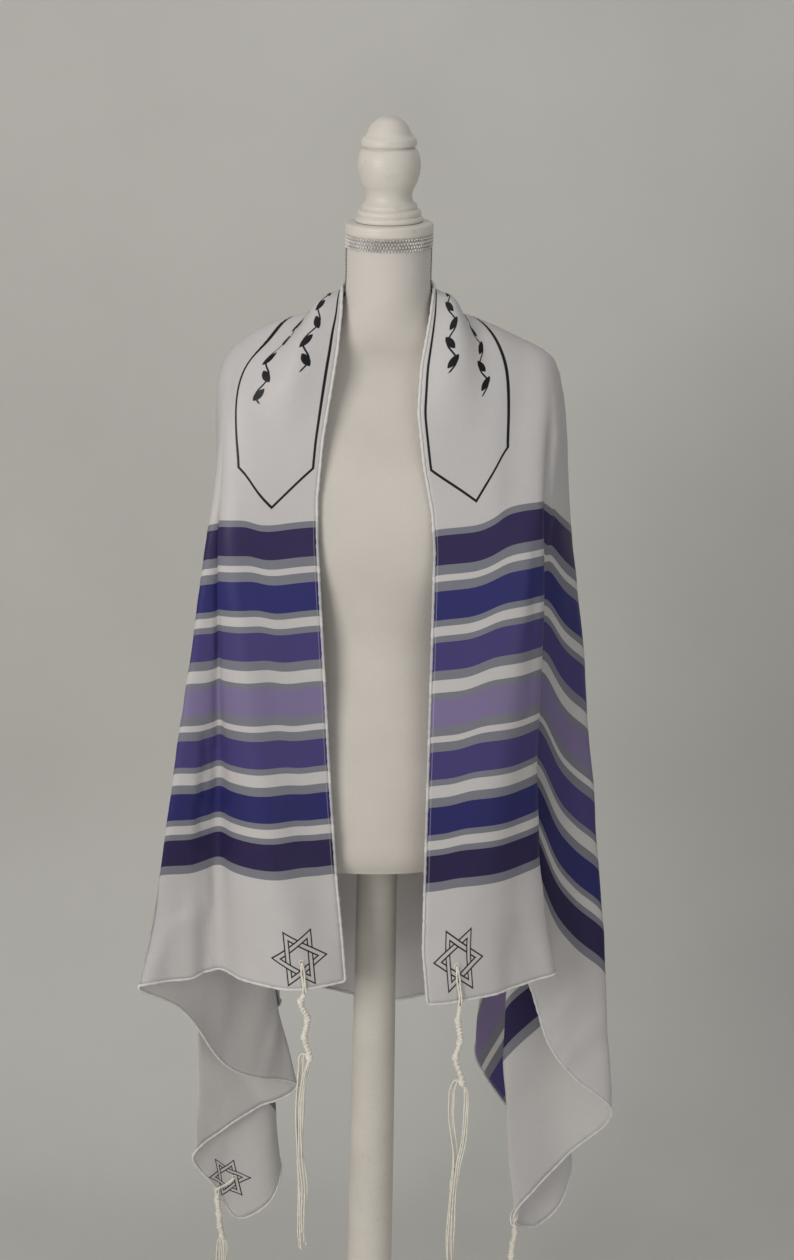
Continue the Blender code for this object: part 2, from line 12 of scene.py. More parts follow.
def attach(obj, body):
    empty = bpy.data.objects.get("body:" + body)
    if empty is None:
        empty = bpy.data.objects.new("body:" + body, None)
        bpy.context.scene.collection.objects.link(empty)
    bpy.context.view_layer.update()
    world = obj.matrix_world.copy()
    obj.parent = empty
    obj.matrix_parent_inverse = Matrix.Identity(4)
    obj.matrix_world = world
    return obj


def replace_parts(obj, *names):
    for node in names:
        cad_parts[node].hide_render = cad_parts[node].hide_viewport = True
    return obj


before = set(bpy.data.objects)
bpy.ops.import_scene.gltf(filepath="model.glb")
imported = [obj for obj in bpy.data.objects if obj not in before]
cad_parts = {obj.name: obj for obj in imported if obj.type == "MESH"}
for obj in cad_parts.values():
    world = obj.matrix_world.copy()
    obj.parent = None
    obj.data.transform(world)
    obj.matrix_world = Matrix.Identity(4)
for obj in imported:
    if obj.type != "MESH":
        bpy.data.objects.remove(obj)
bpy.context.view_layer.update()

scene = bpy.context.scene
scene.view_settings.view_transform = "Standard"
scene.view_settings.look = "None"
TAU = 2 * math.pi

# ================================================================ camera
cam_data = bpy.data.cameras.new("camera")
cam_data.lens = 72.0
cam_data.sensor_width = 36.0
cam_data.sensor_fit = "AUTO"
camera = bpy.data.objects.new("camera", cam_data)
camera.location = (0.009, -2.913, 2.135)
camera.rotation_euler = (math.radians(72.5), 0, 0)
scene.collection.objects.link(camera)
scene.camera = camera

# ================================================================ cloth: named sizes
CLOTH_LENGTH = 1.96  # along the neck edge
CLOTH_WIDTH = 1.05  # from the neck edge to the far edge
WALL = 0.0012  # modelled wall of the silk
SEAM_GAP = 0.0003  # half of the gap between two stretches
HALF = CLOTH_LENGTH / 2
FRONT_FALL = 0.108  # how far the front stands from the shoulder line
BACK_FALL = 0.112
SIDE_FALL = 0.012
BACK_NECK_DEPTH = 0.0585
BACK_NECK_RISE = 0.004
SHOULDER_PART = 0.0009  # front and back stand this far either side of the shoulder line
FOLD_REACH = 0.22  # folds narrower than this open only below the shoulder

# Shoulder line under the cloth's top, from the side of the neck to the shoulder tip. s and t
# say which point of the flat cloth lies there, from the centre back and from the neck edge.
RIDGE_COLUMNS = ("x", "z", "s", "t")
RIDGE = {
    "right": [
        (0.0525, 1.6365, 0.078, 0.000),
        (0.064, 1.6255, 0.094, 0.040),
        (0.080, 1.609, 0.116, 0.082),
        (0.102, 1.601, 0.136, 0.104),
        (0.122, 1.592, 0.153, 0.112),
        (0.148, 1.576, 0.174, 0.122),
        (0.177, 1.563, 0.192, 0.140),
        (0.189, 1.557, 0.200, 0.149),
        (0.1925, 1.5549, 0.1945, 0.1518), (0.1935, 1.5543, 0.1965, 0.1526), (0.1955, 1.553, 0.2115, 0.1543),
        (0.200, 1.550, 0.223, 0.158),
    ],
    "left": [
        (0.0545, 1.6365, 0.084, 0.000),
        (0.066, 1.628, 0.090, 0.036),
        (0.085, 1.613, 0.100, 0.074),
        (0.104, 1.605, 0.108, 0.096),
        (0.128, 1.600, 0.121, 0.107),
        (0.153, 1.589, 0.134, 0.114),
        (0.177, 1.571, 0.152, 0.120),
        (0.194, 1.552, 0.166, 0.126),
    ],
}

# One row for each fold or bend of the lower edge. "edge" is end for the short end of the
# cloth, whose distance runs from the neck edge, or far for the far long edge, whose distance
# runs from the corner. x (outwards), y and z are where that point hangs. "turn" is the
# direction in which the column leaves the shoulder: -90 front, 0 side, 90 back. "ridge" is
# where it starts, 0 at the neck and 1 at the shoulder tip. belly_x and belly_y bow the
# column between its ends. "opens" is how far down the column its fold begins to open.
FOLD_COLUMNS = ("name", "edge", "distance", "x", "y", "z", "turn", "ridge", "belly_x", "belly_y", "opens")
FOLDS = {
    "right": [
        ("inner", "end", 0.000, 0.046, -0.120, 0.776, -90, 0.00, 0.000, 0.000, 0.02),
        ("edge_a", "end", 0.020, 0.0635, -0.1160, 0.775, -90, 0.68, 0.000, -0.002, 0.02),
        ("front_a", "end", 0.045, 0.086, -0.108, 0.7755, -90, 0.80, 0.000, -0.004, 0.02),
        ("front_b", "end", 0.115, 0.146, -0.080, 0.778, -86, 0.865, 0.000, 0.002, 0.02),
        ("edge_fold", "end", 0.185, 0.206, -0.044, 0.783, -66, 0.890, -0.018, 0.000, 0.12),
        ("under", "end", 0.228, 0.184, -0.012, 0.776, -62, 0.900, -0.017, 0.000, 0.12),
        ("deep_fold", "end", 0.360, 0.108, 0.044, 0.758, -50, 0.925, 0.010, -0.014, 0.12),
        ("side_a", "end", 0.560, 0.177, 0.024, 0.738, -36, 0.955, 0.000, 0.000, 0.12),
        ("side_b", "end", 0.645, 0.205, 0.029, 0.648, -24, 0.970, 0.004, 0.000, 0.02),
        ("side_c", "end", 0.720, 0.238, 0.038, 0.596, -12, 0.985, 0.006, 0.000, 0.02),
        ("outer_fold", "end", 0.800, 0.291, 0.060, 0.533, 0, 1.000, 0.006, 0.000, 0.02),
        ("tail_a", "end", 0.905, 0.233, 0.110, 0.435, 14, 0.988, -0.016, 0.006, 0.02),
        ("tail_fold", "end", 1.000, 0.166, 0.100, 0.347, 26, 0.976, -0.030, 0.008, 0.02),
        ("corner", "far", 0.000, 0.196, 0.127, 0.322, 33, 0.969, -0.020, 0.012, 0.02),
        ("tail_b", "far", 0.060, 0.232, 0.145, 0.345, 40, 0.962, 0.000, 0.010, 0.02),
        ("hind_fold", "far", 0.120, 0.249, 0.163, 0.395, 48, 0.954, 0.000, 0.006, 0.02),
        ("hind_a", "far", 0.290, 0.155, 0.186, 0.480, 61, 0.930, 0.000, 0.000, 0.02),
        ("hind_b", "far", 0.370, 0.116, 0.204, 0.540, 68, 0.915, 0.000, 0.000, 0.02),
        ("back_fold", "far", 0.570, 0.228, 0.232, 0.645, 77, 0.885, 0.000, 0.000, 0.02),
        ("back_a", "far", 0.785, 0.160, 0.250, 0.640, 87, 0.800, 0.000, 0.000, 0.02),
        ("back_b", "far", 0.885, 0.085, 0.216, 0.636, 90, 0.00, 0.000, 0.000, 0.02),
        ("centre", "far", 0.980, 0.000, 0.190, 0.632, 90, 0.00, 0.000, 0.000, 0.02),
    ],
    "left": [
        ("inner", "end", 0.000, 0.054, -0.100, 0.797, -90, 0.00, 0.000, 0.000, 0.02),
        ("edge_a", "end", 0.024, 0.0775, -0.1090, 0.796, -90, 0.68, 0.000, -0.002, 0.02),
        ("front_a", "end", 0.055, 0.108, -0.119, 0.795, -90, 0.82, 0.000, -0.004, 0.02),
        ("front_b", "end", 0.130, 0.180, -0.086, 0.793, -86, 0.88, 0.000, 0.000, 0.02),
        ("recess", "end", 0.175, 0.214, -0.048, 0.789, -80, 0.90, 0.000, 0.002, 0.02),
        ("front_c", "end", 0.225, 0.250, -0.062, 0.783, -72, 0.92, 0.000, 0.000, 0.02),
        ("edge_fold", "end", 0.295, 0.310, -0.086, 0.783, -58, 0.94, -0.004, 0.006, 0.02),
        ("inside_a", "end", 0.370, 0.266, -0.040, 0.734, -46, 0.955, 0.000, 0.006, 0.02),
        ("inside_b", "end", 0.490, 0.212, 0.030, 0.616, -32, 0.975, 0.000, 0.000, 0.02),
        ("deep_fold", "end", 0.660, 0.125, 0.110, 0.545, -14, 0.99, 0.012, -0.010, 0.02),
        ("lap", "end", 0.855, 0.223, 0.090, 0.490, 0, 1.000, 0.004, 0.000, 0.02),
        ("outer_fold", "end", 0.940, 0.262, 0.076, 0.452, 12, 0.990, 0.002, 0.000, 0.02),
        ("tail_a", "end", 0.993, 0.236, 0.098, 0.400, 20, 0.983, 0.000, 0.004, 0.02),
        ("corner", "far", 0.000, 0.206, 0.112, 0.343, 30, 0.973, 0.000, 0.006, 0.02),
        ("tail_b", "far", 0.050, 0.163, 0.124, 0.362, 38, 0.965, 0.000, 0.006, 0.02),
        ("hind_fold", "far", 0.095, 0.150, 0.142, 0.400, 46, 0.957, 0.000, 0.006, 0.02),
        ("hind_a", "far", 0.200, 0.212, 0.170, 0.490, 56, 0.942, 0.000, 0.004, 0.02),
        ("hind_b", "far", 0.290, 0.258, 0.192, 0.545, 63, 0.928, 0.000, 0.000, 0.02),
        ("back_fold", "far", 0.480, 0.150, 0.212, 0.618, 71, 0.905, 0.000, 0.000, 0.02),
        ("back_c", "far", 0.650, 0.222, 0.242, 0.646, 79, 0.875, 0.000, 0.000, 0.02),
        ("back_a", "far", 0.785, 0.160, 0.252, 0.640, 87, 0.800, 0.000, 0.000, 0.02),
        ("back_b", "far", 0.885, 0.085, 0.218, 0.636, 90, 0.00, 0.000, 0.000, 0.02),
        ("centre", "far", 0.980, 0.000, 0.190, 0.632, 90, 0.00, 0.000, 0.000, 0.02),
    ],
}

# The front panels hang flat beside their inner edge: this much sideways for each unit of
# cloth, from FLAT_FROM of the way down the columns, as far as the two distances from the edge.
FLAT_SPREAD = {"right": 1.02, "left": 0.97}
FLAT_FROM = 0.16
FLAT_ENDS = {"right": (0.04, 0.125), "left": (0.10, 0.175)}
# The left collar spreads below the shoulder before it narrows again: this much further out
# at the neckband's outer line, at that fraction down the columns, fading out by COLLAR_FADE.
COLLAR_SPREAD = {
    "right": [(0, 0), (1, 0)],
    "left": [(0, 0), (0.035, 0), (0.05, 0.002), (0.06, 0.007), (0.075, 0.0165), (0.10, 0.020), (0.12, 0.019), (0.143, 0.016), (0.17, 0.011), (0.20, 0.0035), (0.22, 0), (1, 0)],
}
COLLAR_FADE = [(0, 0), (0.09, 1), (0.102, 1), (0.112, 0.65), (0.122, 0.2), (0.13, 0)]
# The front inner edge, sideways from the straight line between its two ends, and how far
# into the panel that shift reaches.
EDGE_REACH = {"right": 0.05, "left": 0.16}
EDGE_COLUMNS = ("fraction", "outwards")
INNER_EDGE = {
    "right": [(0, 0), (0.05, -0.005), (0.12, -0.015), (0.18, -0.018), (0.25, -0.011), (0.31, -0.001), (0.36, 0.002), (0.5, 0.0), (0.75, -0.004), (0.92, -0.006), (1, 0)],
    "left": [(0, 0), (0.05, 0.0), (0.1, 0.004), (0.16, 0.013), (0.22, 0.022), (0.30, 0.029), (0.36, 0.029), (0.5, 0.024), (0.7, 0.017), (0.85, 0.010), (0.92, 0.005), (1, 0)],
}


# ================================================================ cloth: its shape
def edge_distance(row):
    return row[2] if row[1] == "end" else CLOTH_WIDTH + row[2]


def through(at, knots, values):
    """A smooth curve through the rows, with tangents taken from their neighbours."""
    knots, values = np.asarray(knots, float), np.asarray(values, float)
    step = np.diff(knots)
    slope = np.diff(values, axis=0) / step[:, None]
    tangent = np.zeros_like(values)
    tangent[1:-1] = (slope[:-1] * step[1:, None] + slope[1:] * step[:-1, None]) / (step[:-1] + step[1:])[:, None]
    tangent[0], tangent[-1] = slope[0], slope[-1]
    i = np.clip(np.searchsorted(knots, at, side="right") - 1, 0, len(knots) - 2)
    q = ((at - knots[i]) / step[i])[:, None]
    h = step[i][:, None]
    return (
        (2 * q**3 - 3 * q**2 + 1) * values[i]
        + (q**3 - 2 * q**2 + q) * h * tangent[i]
        + (3 * q**2 - 2 * q**3) * values[i + 1]
        + (q**3 - q**2) * h * tangent[i + 1]
    )


def growth(f):
    """How a column leaves the shoulder: slowly at first, full at the lower edge."""
    return 1.15 * f * f / (f + 0.15)


def opening(f, opens):
    """How a fold opens down its column: shut over the shoulder, then as the column spreads."""
    q = np.clip((f[None, :] - opens[:, None]) / 0.30, 0, 1)
    return growth(f)[None, :] * q * q * (3 - 2 * q)


def without_folds(values, at, knots):
    """The lower edge's rows smoothed along the edge, which leaves out the folds."""
    fine = np.linspace(knots[0], knots[-1], 400)
    wide = through(fine, knots, values)
    weight = np.exp(-(((at[:, None] - fine[None, :]) / FOLD_REACH) ** 2))
    mirror = np.exp(-(((at[:, None] - (2 * knots[-1] - fine[None, :])) / FOLD_REACH) ** 2))
    flipped = wide * np.array([-1.0, 1.0])
    total = (weight[..., None] * wide[None] + mirror[..., None] * flipped[None]).sum(1)
    return total / (weight + mirror).sum(1)[:, None]


def foot_inner(rows):
    return rows[0][3:6]


def shawl(side, u, f):
    """Points of the cloth's middle face. u is the distance along the lower edge from the
    front inner corner, f runs down each column from 0 at the shoulder to 1 at the edge."""
    rows, u, f = FOLDS[side], np.asarray(u, float), np.asarray(f, float)
    knots = [edge_distance(r) for r in rows]
    # Past the centre back the other side begins: one mirrored row carries the curve on.
    far_knots = [*knots, 2 * knots[-1] - knots[-2]]
    feet = [r[3:6] for r in rows]
    feet.append((-feet[-2][0], feet[-2][1], feet[-2][2]))
    foot = through(u, far_knots, feet)
    plain = without_folds([r[:2] for r in feet[:-1]], u, knots)
    turn = np.radians(np.clip(through(u, knots, [[r[6]] for r in rows])[:, 0], -90, 90))
    ridge = np.interp(u, knots, [r[7] for r in rows])
    belly = through(u, knots, [r[8:10] for r in rows])
    line = np.array(RIDGE[side])
    round_neck = knots[-2]  # from here on the column hangs from the back of the neck
    opens = np.interp(u, knots, [r[10] for r in rows])
    x_line = line[0, 0] + (line[-1, 0] - line[0, 0]) * ridge
    z0 = np.interp(x_line, line[:, 0], line[:, 1])
    angle = np.clip((u - round_neck) / (knots[-1] - round_neck), 0, 1) * math.pi / 2
    x0 = x_line * np.cos(angle)
    y0 = BACK_NECK_DEPTH * np.sin(angle) + SHOULDER_PART * np.clip(turn / 0.15, -1, 1) * np.cos(angle)
    z0 = z0 + BACK_NECK_RISE * np.sin(angle)
    s_end = np.where(u < CLOTH_WIDTH, HALF, HALF - (u - CLOTH_WIDTH))
    t_end = np.minimum(u, CLOTH_WIDTH)
    s_top = np.where(u < round_neck, np.interp(x_line, line[:, 0], line[:, 2]), HALF - (u - CLOTH_WIDTH))
    t_top = np.interp(x_line, line[:, 0], line[:, 3])
    fall = np.stack([SIDE_FALL * np.cos(turn), np.where(turn < 0, FRONT_FALL, BACK_FALL) * np.sin(turn) - y0], -1)
    start = np.stack([x0, y0], -1)
    reach = np.maximum(0.012, 1.05 * np.hypot(fall[:, 0], fall[:, 1]))
    length = np.hypot(s_end - s_top, t_end - t_top)

    def plan(fr):
        near = (1 - np.exp(-fr[None, :] * length[:, None] / reach[:, None]))[..., None]
        spread = growth(fr)[None, :, None] * (plain - start - fall)[:, None]
        fold = opening(fr, opens)[..., None] * (foot[:, :2] - plain)[:, None]
        bow = (6.75 * fr**2 * (1 - fr))[None, :, None] * belly[:, None]
        return start[:, None] + near * fall[:, None] + spread + fold + bow

    xy = plan(f)
    edge = np.array(INNER_EDGE[side])
    xy[..., 0] += np.interp(f, edge[:, 0], edge[:, 1])[None, :] * np.where(u < 0.4, np.exp(-((u / EDGE_REACH[side]) ** 4)), 0)[:, None]
    near_end, far_end = FLAT_ENDS[side]
    flat = np.clip((far_end - u) / (far_end - near_end), 0, 1)
    flat = (flat * flat * (3 - 2 * flat))[:, None] * (1 - np.clip(1 - f / FLAT_FROM, 0, 1) ** 2)[None, :]
    inner = line[0, 0] + (foot_inner(rows)[0] - line[0, 0]) * growth(f) + np.interp(f, edge[:, 0], edge[:, 1])
    across = t_top[:, None] + (t_end - t_top)[:, None] * f[None, :]
    xy[..., 0] += flat * (inner[None, :] + FLAT_SPREAD[side] * across - xy[..., 0])
    spread, fade = np.array(COLLAR_SPREAD[side]), np.array(COLLAR_FADE)
    xy[..., 0] += np.interp(f, spread[:, 0], spread[:, 1])[None, :] * np.interp(across, fade[:, 0], fade[:, 1])
    fine = np.linspace(0, 1, 161)
    steps = np.linalg.norm(np.diff(plan(fine), axis=1), axis=2) / (np.diff(fine)[None] * length[:, None])
    drop = np.sqrt(np.maximum(0.03, 1 - np.minimum(steps, 1) ** 2))
    drop = np.concatenate([np.zeros((len(u), 1)), np.cumsum(drop, 1)], 1)
    drop /= drop[:, -1:]
    z = np.stack([z0[i] - (z0[i] - foot[i, 2]) * np.interp(f, fine, drop[i]) for i in range(len(u))])
    sign = 1 if side == "right" else -1
    return np.stack([sign * xy[..., 0], xy[..., 1], z], -1)




SHOULDER_PART = 0.0  # here front and back are one cloth over the shoulder


# ================================================================ node helpers
class Val:
    """A value in a node tree, so that a pattern can be written as arithmetic."""

    def __init__(self, tree, socket):
        self.tree, self.socket = tree, socket

    def _op(self, kind, *others, clamp=False):
        node = self.tree.nodes.new("ShaderNodeMath")
        node.operation = kind
        node.use_clamp = clamp
        for i, v in enumerate((self, *others)):
            if isinstance(v, Val):
                self.tree.links.new(v.socket, node.inputs[i])
            else:
                node.inputs[i].default_value = float(v)
        return Val(self.tree, node.outputs[0])

    def __add__(self, o):
        return self._op("ADD", o)

    __radd__ = __add__

    def __sub__(self, o):
        return self._op("SUBTRACT", o)

    def __rsub__(self, o):
        return (self * -1.0) + o

    def __mul__(self, o):
        return self._op("MULTIPLY", o)

    __rmul__ = __mul__

    def __truediv__(self, o):
        return self._op("DIVIDE", o)

    def abs(self):
        return self._op("ABSOLUTE")

    def sin(self):
        return self._op("SINE")

    def floor(self):
        return self._op("FLOOR")

    def mod(self, o):
        return self._op("FLOORED_MODULO", o)

    def max(self, o):
        return self._op("MAXIMUM", o)

    def min(self, o):
        return self._op("MINIMUM", o)

    def less(self, o):
        return self._op("LESS_THAN", o)

    def more(self, o):
        return self._op("GREATER_THAN", o)

    def sqrt(self):
        return self._op("SQRT")

    def atan2(self, o):
        return self._op("ARCTAN2", o)

    def clamped(self):
        return self._op("ADD", 0.0, clamp=True)

    def inside(self, width, soft):
        """1 where this distance is under width, 0 past it, over a soft step."""
        return (((self - width) * (-1.0 / soft)) + 0.5)._op("ADD", 0.0, clamp=True)


class Tree:
    def __init__(self, name):
        self.mat = bpy.data.materials.new(name)
        self.mat.use_nodes = True
        self.t = self.mat.node_tree
        self.t.nodes.clear()
        self.out = self.t.nodes.new("ShaderNodeOutputMaterial")

    def node(self, kind, **settings):
        n = self.t.nodes.new(kind)
        for k, v in settings.items():
            setattr(n, k, v)
        return n

    def link(self, a, b):
        self.t.links.new(a.socket if isinstance(a, Val) else a, b)

    def val(self, socket):
        return Val(self.t, socket)

    def principled(self, colour=None, roughness=0.5, **more):
        n = self.node("ShaderNodeBsdfPrincipled")
        n.inputs["Roughness"].default_value = roughness
        if colour is not None:
            n.inputs["Base Color"].default_value = (*colour, 1)
        for k, v in more.items():
            n.inputs[k.replace("_", " ")].default_value = v
        return n

    def noise(self, vector, scale, detail=3.0, roughness=0.5, distortion=0.0):
        n = self.node("ShaderNodeTexNoise")
        n.inputs["Scale"].default_value = scale
        n.inputs["Detail"].default_value = detail
        n.inputs["Roughness"].default_value = roughness
        n.inputs["Distortion"].default_value = distortion
        if vector is not None:
            self.link(vector, n.inputs["Vector"])
        return n

    def mapped(self, vector, scale=(1, 1, 1), rotation=(0, 0, 0)):
        n = self.node("ShaderNodeMapping")
        n.inputs["Scale"].default_value = scale
        n.inputs["Rotation"].default_value = rotation
        self.link(vector, n.inputs["Vector"])
        return n.outputs[0]

    def ramp(self, value, stops, interpolation="LINEAR"):
        n = self.node("ShaderNodeValToRGB")
        n.color_ramp.interpolation = interpolation
        e = n.color_ramp.elements
        while len(e) < len(stops):
            e.new(1.0)
        for el, (pos, col) in zip(e, stops):
            el.position = pos
        for el, (pos, col) in zip(e, stops):
            el.color = (*col, 1)
        self.link(value, n.inputs[0])
        return n.outputs[0]

    def mix(self, factor, a, b, blend="MIX"):
        n = self.node("ShaderNodeMix", data_type="RGBA", blend_type=blend)
        for sock, v in ((n.inputs[0], factor), (n.inputs[6], a), (n.inputs[7], b)):
            if isinstance(v, (Val, bpy.types.NodeSocket)):
                self.link(v, sock)
            elif isinstance(v, (int, float)):
                sock.default_value = v
            else:
                sock.default_value = (*v, 1)
        return n.outputs[2]

    def bump(self, height, strength, distance, normal=None):
        n = self.node("ShaderNodeBump")
        n.inputs["Strength"].default_value = strength
        n.inputs["Distance"].default_value = distance
        self.link(height, n.inputs["Height"])
        if normal is not None:
            self.link(normal, n.inputs["Normal"])
        return n.outputs[0]

    def coords(self, which="Object"):
        return self.node("ShaderNodeTexCoord").outputs[which]

    def finish(self, shader):
        self.link(shader, self.out.inputs["Surface"])
        return self.mat


def srgb(hexcode):
    """Linear colour from its screen value."""
    c = [int(hexcode[i : i + 2], 16) / 255 for i in (1, 3, 5)]
    return tuple(v / 12.92 if v <= 0.04045 else ((v + 0.055) / 1.055) ** 2.4 for v in c)


# ================================================================ the silk's pattern
# Woven bands from the short end inwards: colour and width in metres. The first white runs
# from the hem; past the last one the cloth is white to the other end's bands.
WHITE = srgb("#e7e4e3")
GREY = srgb("#9697a3")
INK = srgb("#15131c")
BAND_COLOURS = {
    "white": WHITE,
    "grey": GREY,
    # the violet and blue of the bands nearest the short ends are the same dyes darkened: painted shade, for the lower
    # ends hanging in less light
    "violet_painted_shade": srgb("#352a5d"),
    "blue_painted_shade": srgb("#34347d"),
    "violet": srgb("#3e3266"),
    "blue": srgb("#393984"),
    "purple": srgb("#584d90"),
    "lavender": srgb("#9b8db9"),
}
BAND_COLUMNS = ("colour", "width")
BAND_SCALE = 1.0
BANDS = [
    ("white", 0.1480),
    ("grey", 0.0094), ("violet_painted_shade", 0.0357), ("grey", 0.0094),
    ("white", 0.0094),
    ("grey", 0.0094), ("blue_painted_shade", 0.0357), ("grey", 0.0094),
    ("white", 0.0165),
    ("grey", 0.0094), ("purple", 0.0357), ("grey", 0.0094),
    ("white", 0.0094),
    ("grey", 0.0094), ("lavender", 0.0357), ("grey", 0.0094),
    ("white", 0.0165),
    ("grey", 0.0094), ("purple", 0.0357), ("grey", 0.0094),
    ("white", 0.0094),
    ("grey", 0.0094), ("blue", 0.0357), ("grey", 0.0094),
    ("white", 0.0094),
    ("grey", 0.0094), ("violet", 0.0357), ("grey", 0.0094),
    ("white", 0.1),
]

NECKBAND = dict(low=0.009, high=0.100, tip=0.351, left_more=0.006, shoulder=0.309, line=0.0031)
STAR = dict(from_end=0.0375, from_edge=0.0455, front_right=(0.0165, -0.0040), front_left=(0.0045, 0.0085), back_left=(-0.0075, 0.0125), reach=0.0305, long_right=1.50, long_left=1.38, wide_right=0.97, wide_left=1.10, long_back=1.02, wide_back=1.0, band=0.0047, line=0.0014)


def silk_pattern(T, s, t):
    """Base colour of the silk from the cloth's own coordinates, s from the centre back along
    the neck edge and t from the neck edge, in metres."""
    a = s.abs()
    d = HALF - a
    stops, at = [], 0.0
    for name, width in BANDS:
        stops.append((at, BAND_COLOURS[name]))
        at += width * BAND_SCALE
    colour = T.ramp(d, stops, "CONSTANT")
    # neckband: an outline with pointed ends
    n = NECKBAND
    middle, half = (n["low"] + n["high"]) / 2, (n["high"] - n["low"]) / 2
    v = (t - middle).abs()
    run, rise = n["tip"] - n["shoulder"], half
    long = math.hypot(run, rise)
    point = (a - n["tip"] - s.less(0.0) * n["left_more"]) * (rise / long) + v * (run / long)
    outline = (v - half).max(point).abs().inside(n["line"] / 2, 0.0006)
    # two rows of a leafy scroll inside it
    marks = outline
    for row, reach, phase in ((0.033, 0.200, 0.0), (0.073, 0.232, 0.013)):
        wave = 0.044
        x = s + phase
        y = t - row
        centre = (x * (TAU / wave)).sin() * 0.0052
        stem = (y - centre).abs().inside(0.0012, 0.0005)
        # a leaf in each half wave, on the hollow side of the scroll
        cell = x.mod(wave / 2) - wave / 4
        side = (x / (wave / 2)).floor().mod(2.0) * 2.0 - 1.0
        ly = y * side + 0.0022
        # the leaf is where two discs overlap, turned a little
        for tilt, shift, length, width in ((0.62, 0.0004, 0.0185, 0.0082),):
            c, sn = math.cos(tilt), math.sin(tilt)
            px = (cell - shift) * c + ly * sn
            py = ly * c - (cell - shift) * sn
            radius = (length**2 + width**2) / (4 * width)
            off = radius - width / 2
            pd = (px * px + (py.abs() + off) * (py.abs() + off)).sqrt() - radius
            stem = stem.max(pd.inside(0.0, 0.0005))
        stem = stem * (a - reach).inside(0.0, 0.002)
        marks = marks.max(stem)
    # corner stars: two woven triangles, each a band with an outline on both sides
    g = STAR
    # each star's own place, next to the plain one: further from its end, and from its edge
    front, back = t.less(CLOTH_WIDTH / 2), t.more(CLOTH_WIDTH / 2)
    right, left = s.more(0.0), s.less(0.0)
    further = right * front * g["front_right"][0] + left * front * g["front_left"][0] + left * back * g["back_left"][0]
    inward = right * front * g["front_right"][1] + left * front * g["front_left"][1] + left * back * g["back_left"][1]
    # and each star's own stretch along and across the cloth, as its corner lies
    px = (a - (HALF - g["from_end"]) + further) * (right * (1 / g["long_right"]) + left * front * (1 / g["long_left"]) + left * back * (1 / g["long_back"]))
    te = t.min((t * -1.0) + CLOTH_WIDTH)
    py = (te - g["from_edge"] - inward) * (right * (1 / g["wide_right"]) + left * front * (1 / g["wide_left"]) + left * back * (1 / g["wide_back"]))

    def triangle(first):
        dist = None
        for k in range(3):
            angle = math.radians(first + 120 * k)  # counted from the short way of the cloth
            side = py * math.cos(angle) + px * math.sin(angle)
            dist = side if dist is None else dist.max(side)
        return dist - g["reach"] / 2

    da, db = triangle(60), triangle(0)
    half_band = g["band"] / 2
    turn = (px.atan2(py) * 3.0).sin()
    lines = []
    for own, other, over in ((da, db, turn * -1.0), (db, da, turn)):
        line = ((own + half_band).abs() - half_band).abs().inside(g["line"] / 2, 0.0004)
        under = (other + half_band).abs().less(half_band - g["line"] * 0.4) * over.more(0.0)
        lines.append(line * ((under * -1.0) + 1.0))
    # the right back corner is turned in and bare
    shown = (s.more(0.0) * t.more(CLOTH_WIDTH / 2)) * -1.0 + 1.0
    star = lines[0].max(lines[1]) * (px.abs().less(0.05)) * (py.abs().less(0.05)) * shown
    marks = marks.max(star)
    return T.mix(marks, colour, INK), marks, d


def silk_material(hem=False):
    T = Tree("silk_rolled_hem" if hem else "silk_woven")
    uv = T.node("ShaderNodeUVMap", uv_map="cloth").outputs[0]
    xyz = T.node("ShaderNodeSeparateXYZ")
    T.link(uv, xyz.inputs[0])
    s = T.val(xyz.outputs[0]) - HALF
    t = T.val(xyz.outputs[1])
    colour, marks, d = silk_pattern(T, s, t)
    # a slight unevenness of the dye and of the weave, along the threads
    cloudy = T.noise(T.mapped(uv, (6, 6, 6)), 1.0, 4.0).outputs[0]
    slub = T.noise(T.mapped(uv, (55, 900, 1)), 1.0, 2.0).outputs[0]
    slub2 = T.noise(T.mapped(uv, (900, 70, 1)), 1.0, 2.0).outputs[0]
    threads = (T.val(slub) + T.val(slub2)) * 0.5
    tone = T.ramp(T.val(cloudy) * 0.5 + threads * 0.5, [(0.3, (0.90, 0.90, 0.90)), (0.7, (1.0, 1.0, 1.0))])
    colour = T.mix(1.0, colour, tone, "MULTIPLY")
    # the rolled hem is this silk lightened toward white: a painted highlight along the cloth's edges
    if hem:
        colour = T.mix(0.70, colour, (0.97, 0.965, 0.95))
    # a painted highlight along the rolled hem's seam: a fine pale line just inside the edges
    te = t.min((t * -1.0) + CLOTH_WIDTH).min(d)
    seam_highlight = (te - 0.0046).abs().inside(0.0004, 0.0004)
    colour = T.mix(seam_highlight * 0.35, colour, WHITE)
    fine = T.noise(T.mapped(uv, (1400, 1400, 1)), 1.0, 1.0).outputs[0]
    crumple = T.noise(T.mapped(uv, (9, 5, 1)), 1.0, 5.0, 0.55, 0.6).outputs[0]
    normal = T.bump(crumple, 0.35, 0.006)
    normal = T.bump(threads + T.val(fine) * 0.6, 0.22, 0.0006, normal)
    b = T.principled(roughness=0.46, Specular_IOR_Level=0.42, Sheen_Weight=0.12, Sheen_Roughness=0.35)
    T.link(colour, b.inputs["Base Color"])
    T.link(normal, b.inputs["Normal"])
    thin = T.node("ShaderNodeBsdfTranslucent")
    T.link(colour, thin.inputs["Color"])
    T.link(normal, thin.inputs["Normal"])
    m = T.node("ShaderNodeMixShader")
    m.inputs[0].default_value = 0.36
    T.link(b.outputs[0], m.inputs[1])
    T.link(thin.outputs[0], m.inputs[2])
    return T.finish(m.outputs[0])


